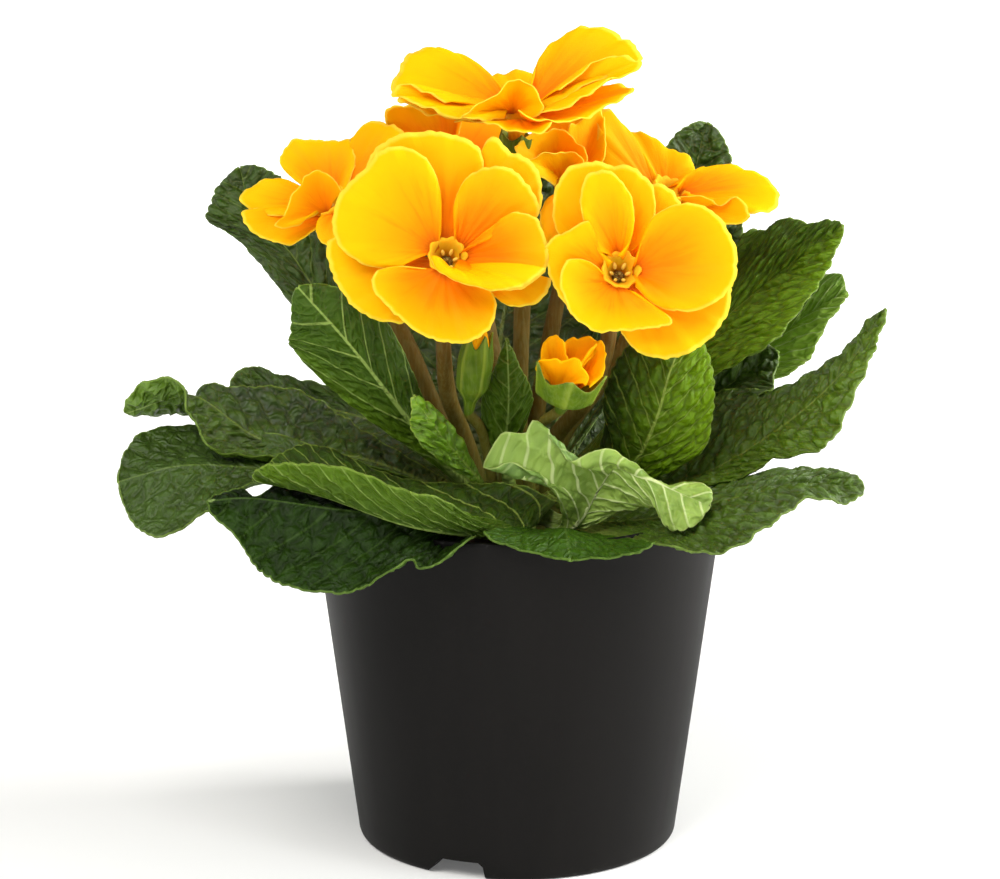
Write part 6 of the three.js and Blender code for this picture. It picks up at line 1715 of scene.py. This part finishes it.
def build_camera():
    """The front view that the landmarks were read in."""
    data = bpy.data.cameras.new("front_view")
    data.sensor_width, data.clip_start, data.clip_end = 36.0, 0.05, 20.0
    data.lens = data.sensor_width * VIEW["zoom"] / (2 * VIEW["across"])
    data.dof.use_dof = False
    camera = bpy.data.objects.new("front_view", data)
    camera.location = Vector(VIEWER * MM)
    camera.rotation_euler = (math.pi / 2 - RISE, 0.0, 0.0)
    bpy.context.scene.collection.objects.link(camera)
    bpy.context.scene.camera = camera


# ---------------------------------------------------------------- settings
def length(name, description, default, **more):
    return bpy.props.FloatProperty(name=name, description=description, default=default, min=0.0,
                                   precision=5, subtype="DISTANCE", unit="LENGTH", **more)


def colour(name, description, code):
    return bpy.props.FloatVectorProperty(name=name, description=description, size=3, min=0.0, max=1.0,
                                         subtype="COLOR", default=linear(code)[:3])


def amount(name, description, default, top=1.0):
    return bpy.props.FloatProperty(name=name, description=description, default=default, min=0.0, max=top)


class PrimrosePot(bpy.types.PropertyGroup):
    rim_radius: length("Rim radius", "Half the width of the rim", (POT_HIGH[0] - POT_LOW[0]) / 2)
    base_radius: length("Base radius", "Half the width of the base", 40.8 * MM)
    height: length("Height", "Height of the pot", POT_HIGH[2])
    wall: length("Wall", "Thickness of the wall", 1.3 * MM)
    foot: length("Foot", "Height of the hollow under the floor", 4.6 * MM)
    floor: length("Floor", "Thickness of the floor", 1.6 * MM)
    notch_width: length("Notch width", "Width of a drain notch in the foot", 17 * MM)
    notch_height: length("Notch height", "Height of a drain notch", 4.6 * MM)
    notch_turn: bpy.props.FloatProperty(
        name="Notch turn", description="Where the first notch sits round the foot",
        default=math.radians(246.5), subtype="ANGLE", unit="ROTATION")
    colour: colour("Colour", "Colour of the plastic", "#0F0E0D")
    roughness: amount("Roughness", "How matt the plastic is", 0.5)


class PrimroseSoil(bpy.types.PropertyGroup):
    crumb: length("Crumb", "Radius of a usual crumb of peat", 0.9 * MM)
    density: amount("Density", "Crumbs on each square metre", 70000.0, 500000.0)


class PrimroseLeaf(bpy.types.PropertyGroup):
    thickness: length("Thickness", "Thickness of the blade between the veins", 0.5 * MM)
    blister: length("Blister height", "How far the blade swells between its veins", 0.7 * MM)
    relief: length("Fine relief", "Depth of the finest dimples", 0.95 * MM)
    cell: amount("Blister size in mm", "Distance between the net veins", 4.6, 20.0)
    fine_cell: amount("Fine blister size in mm", "Distance between the finest veins", 2.3, 20.0)
    vein_spacing: amount("Side vein spacing in mm", "Distance between side veins", 7.0, 30.0)
    roughness: amount("Roughness", "How matt the leaf skin is", 0.46)


class PrimroseFlower(bpy.types.PropertyGroup):
    yellow: colour("Yellow", "Colour at the rim of a petal", "#FFCA00")
    orange: colour("Orange", "Colour near the throat", "#FFA000")
    hair: length("Down length", "Length of the fine hairs on stalks", 0.7 * MM)
    hairs: amount("Down density", "Hairs on each square metre of stalk", 0.6e6, 1e7)


class PrimroseStage(bpy.types.PropertyGroup):
    floor_colour: colour("Floor", "Colour of the table and the wall", "#F2F2F0")
    key: amount("Key", "Power of the main soft light in watts", 17.0, 500.0)
    fill: amount("Fill", "Power of the fill light in watts", 6.5, 500.0)
    rim: amount("Rim", "Power in watts of the light on the right", 20.0, 500.0)
    glow: amount("Glow", "How brightly the paper glows far out", 0.75, 10.0)
    sky: amount("Sky", "Strength of the light from all round", 0.28, 10.0)


# ---------------------------------------------------------------- operators
class PrimroseStep:
    """What every step shares: it shows its settings and can be undone."""
    bl_options = {"REGISTER", "UNDO"}


class PRIMROSE_OT_pot(PrimroseStep, bpy.types.Operator):
    """Add the moulded pot with its drain notches and holes"""
    bl_idname = "primrose.pot"
    bl_label = "Pot"

    def execute(self, context):
        build_pot(pot_material())
        return {"FINISHED"}


class PRIMROSE_OT_soil(PrimroseStep, bpy.types.Operator):
    """Add the peat with its crumbs"""
    bl_idname = "primrose.soil"
    bl_label = "Soil"

    def execute(self, context):
        build_soil(soil_material())
        return {"FINISHED"}


class PRIMROSE_OT_stalks(PrimroseStep, bpy.types.Operator):
    """Add the crown and the downy stalks with their calyces"""
    bl_idname = "primrose.stalks"
    bl_label = "Crown and stalks"

    def execute(self, context):
        material, tree, look = stalk_material(), down_tree(), context.scene.primrose_flower
        build_crown(material)
        pieces = []
        for bloom in BLOOMS:
            face = unit(np.array(bloom["face"], float))
            top = seen(bloom["at"]) + face * (CALYX["rise"] - TUBE_LENGTH)
            pieces.append(build_stalk(bloom, top, face, CALYX, STALK["radius"], STALK["flush"],
                                      material))
        for bud in BUDS:
            axis = unit(np.array(bud["axis"], float))
            top = seen(bud["at"]) + axis * bud["tall"] * bud["rise"]
            calyx = {**bud, "wide": bud["radius"] * 1.1, "inner": bud["radius"] * 0.62}
            pieces.append(build_stalk(bud, top, axis, calyx, STALK["bud_radius"],
                                      STALK["bud_flush"], material))
        for k, piece in enumerate(pieces):
            finish_by_nodes(piece, tree, **{"Hair length": look.hair, "Density": look.hairs,
                                            "Seed": k, "Material": material})
        return {"FINISHED"}


class PRIMROSE_OT_leaves(PrimroseStep, bpy.types.Operator):
    """Add the leaves with their blisters, veins and toothed margins"""
    bl_idname = "primrose.leaves"
    bl_label = "Leaves"

    def execute(self, context):
        materials = {tone: leaf_material(tone) for tone in TONES}
        tree = quilt_tree()
        for leaf in (*LEAVES, *({**leaf, **FAR} for leaf in FAR_LEAVES)):
            build_leaf(leaf, materials, tree, context.scene.primrose_leaf)
        return {"FINISHED"}


class PRIMROSE_OT_blooms(PrimroseStep, bpy.types.Operator):
    """Add the petals of every bloom and bud"""
    bl_idname = "primrose.blooms"
    bl_label = "Petals"

    def execute(self, context):
        material = petal_material()
        for bloom in BLOOMS:
            build_corolla(bloom, material)
        for bud in BUDS:
            build_bud(bud, material)
        return {"FINISHED"}


class PRIMROSE_OT_anthers(PrimroseStep, bpy.types.Operator):
    """Add the ring of anthers in the throat of each open bloom"""
    bl_idname = "primrose.anthers"
    bl_label = "Anthers"

    def execute(self, context):
        tree, material = anther_tree(), anther_material()
        for bloom in BLOOMS:
            if bloom.get("eye", True):
                build_eye(bloom, tree, material)
        return {"FINISHED"}


class PRIMROSE_OT_stage(PrimroseStep, bpy.types.Operator):
    """Add the pale floor, the soft lights and the camera"""
    bl_idname = "primrose.stage"
    bl_label = "Stage"

    def execute(self, context):
        look, scene = context.scene.primrose_stage, context.scene
        build_floor(look)
        for name, (place_at, aim, size, tint) in LIGHTS.items():
            softbox(name + "_light", place_at, aim, size, getattr(look, name), tint)
        world = bpy.data.worlds.new("soft_white_room")
        world.use_nodes = True
        world.node_tree.nodes.clear()
        sky = add(world.node_tree, "ShaderNodeBackground",
                  {"Color": linear("#F4F6F8"), "Strength": look.sky})
        add(world.node_tree, "ShaderNodeOutputWorld", {"Surface": sky.outputs[0]})
        scene.world = world
        scene.view_settings.view_transform = "Standard"
        build_camera()
        return {"FINISHED"}


STEPS = (PRIMROSE_OT_pot, PRIMROSE_OT_soil, PRIMROSE_OT_stalks, PRIMROSE_OT_leaves,
         PRIMROSE_OT_blooms, PRIMROSE_OT_anthers, PRIMROSE_OT_stage)
SETTINGS = {"primrose_pot": PrimrosePot, "primrose_soil": PrimroseSoil, "primrose_leaf": PrimroseLeaf,
            "primrose_flower": PrimroseFlower, "primrose_stage": PrimroseStage}


class PRIMROSE_PT_panel(bpy.types.Panel):
    bl_label = "Potted Primrose"
    bl_space_type = "VIEW_3D"
    bl_region_type = "UI"
    bl_category = "Primrose"

    def draw(self, context):
        for key, group in SETTINGS.items():
            box = self.layout.box()
            box.label(text=key.split("_")[1].title())
            for name in group.__annotations__:
                box.prop(getattr(context.scene, key), name)
        for step in STEPS:
            self.layout.operator(step.bl_idname)


def register():
    for item in (*SETTINGS.values(), *STEPS, PRIMROSE_PT_panel):
        bpy.utils.register_class(item)
    for key, group in SETTINGS.items():
        setattr(bpy.types.Scene, key, bpy.props.PointerProperty(type=group))


def unregister():
    for key in SETTINGS:
        delattr(bpy.types.Scene, key)
    for item in reversed((*SETTINGS.values(), *STEPS, PRIMROSE_PT_panel)):
        bpy.utils.unregister_class(item)


def main():
    register()
    for step in STEPS:
        family, name = step.bl_idname.split(".")
        if getattr(getattr(bpy.ops, family), name)() != {"FINISHED"}:
            raise RuntimeError(step.bl_idname + " did not finish")


if __name__ == "__main__":
    main()
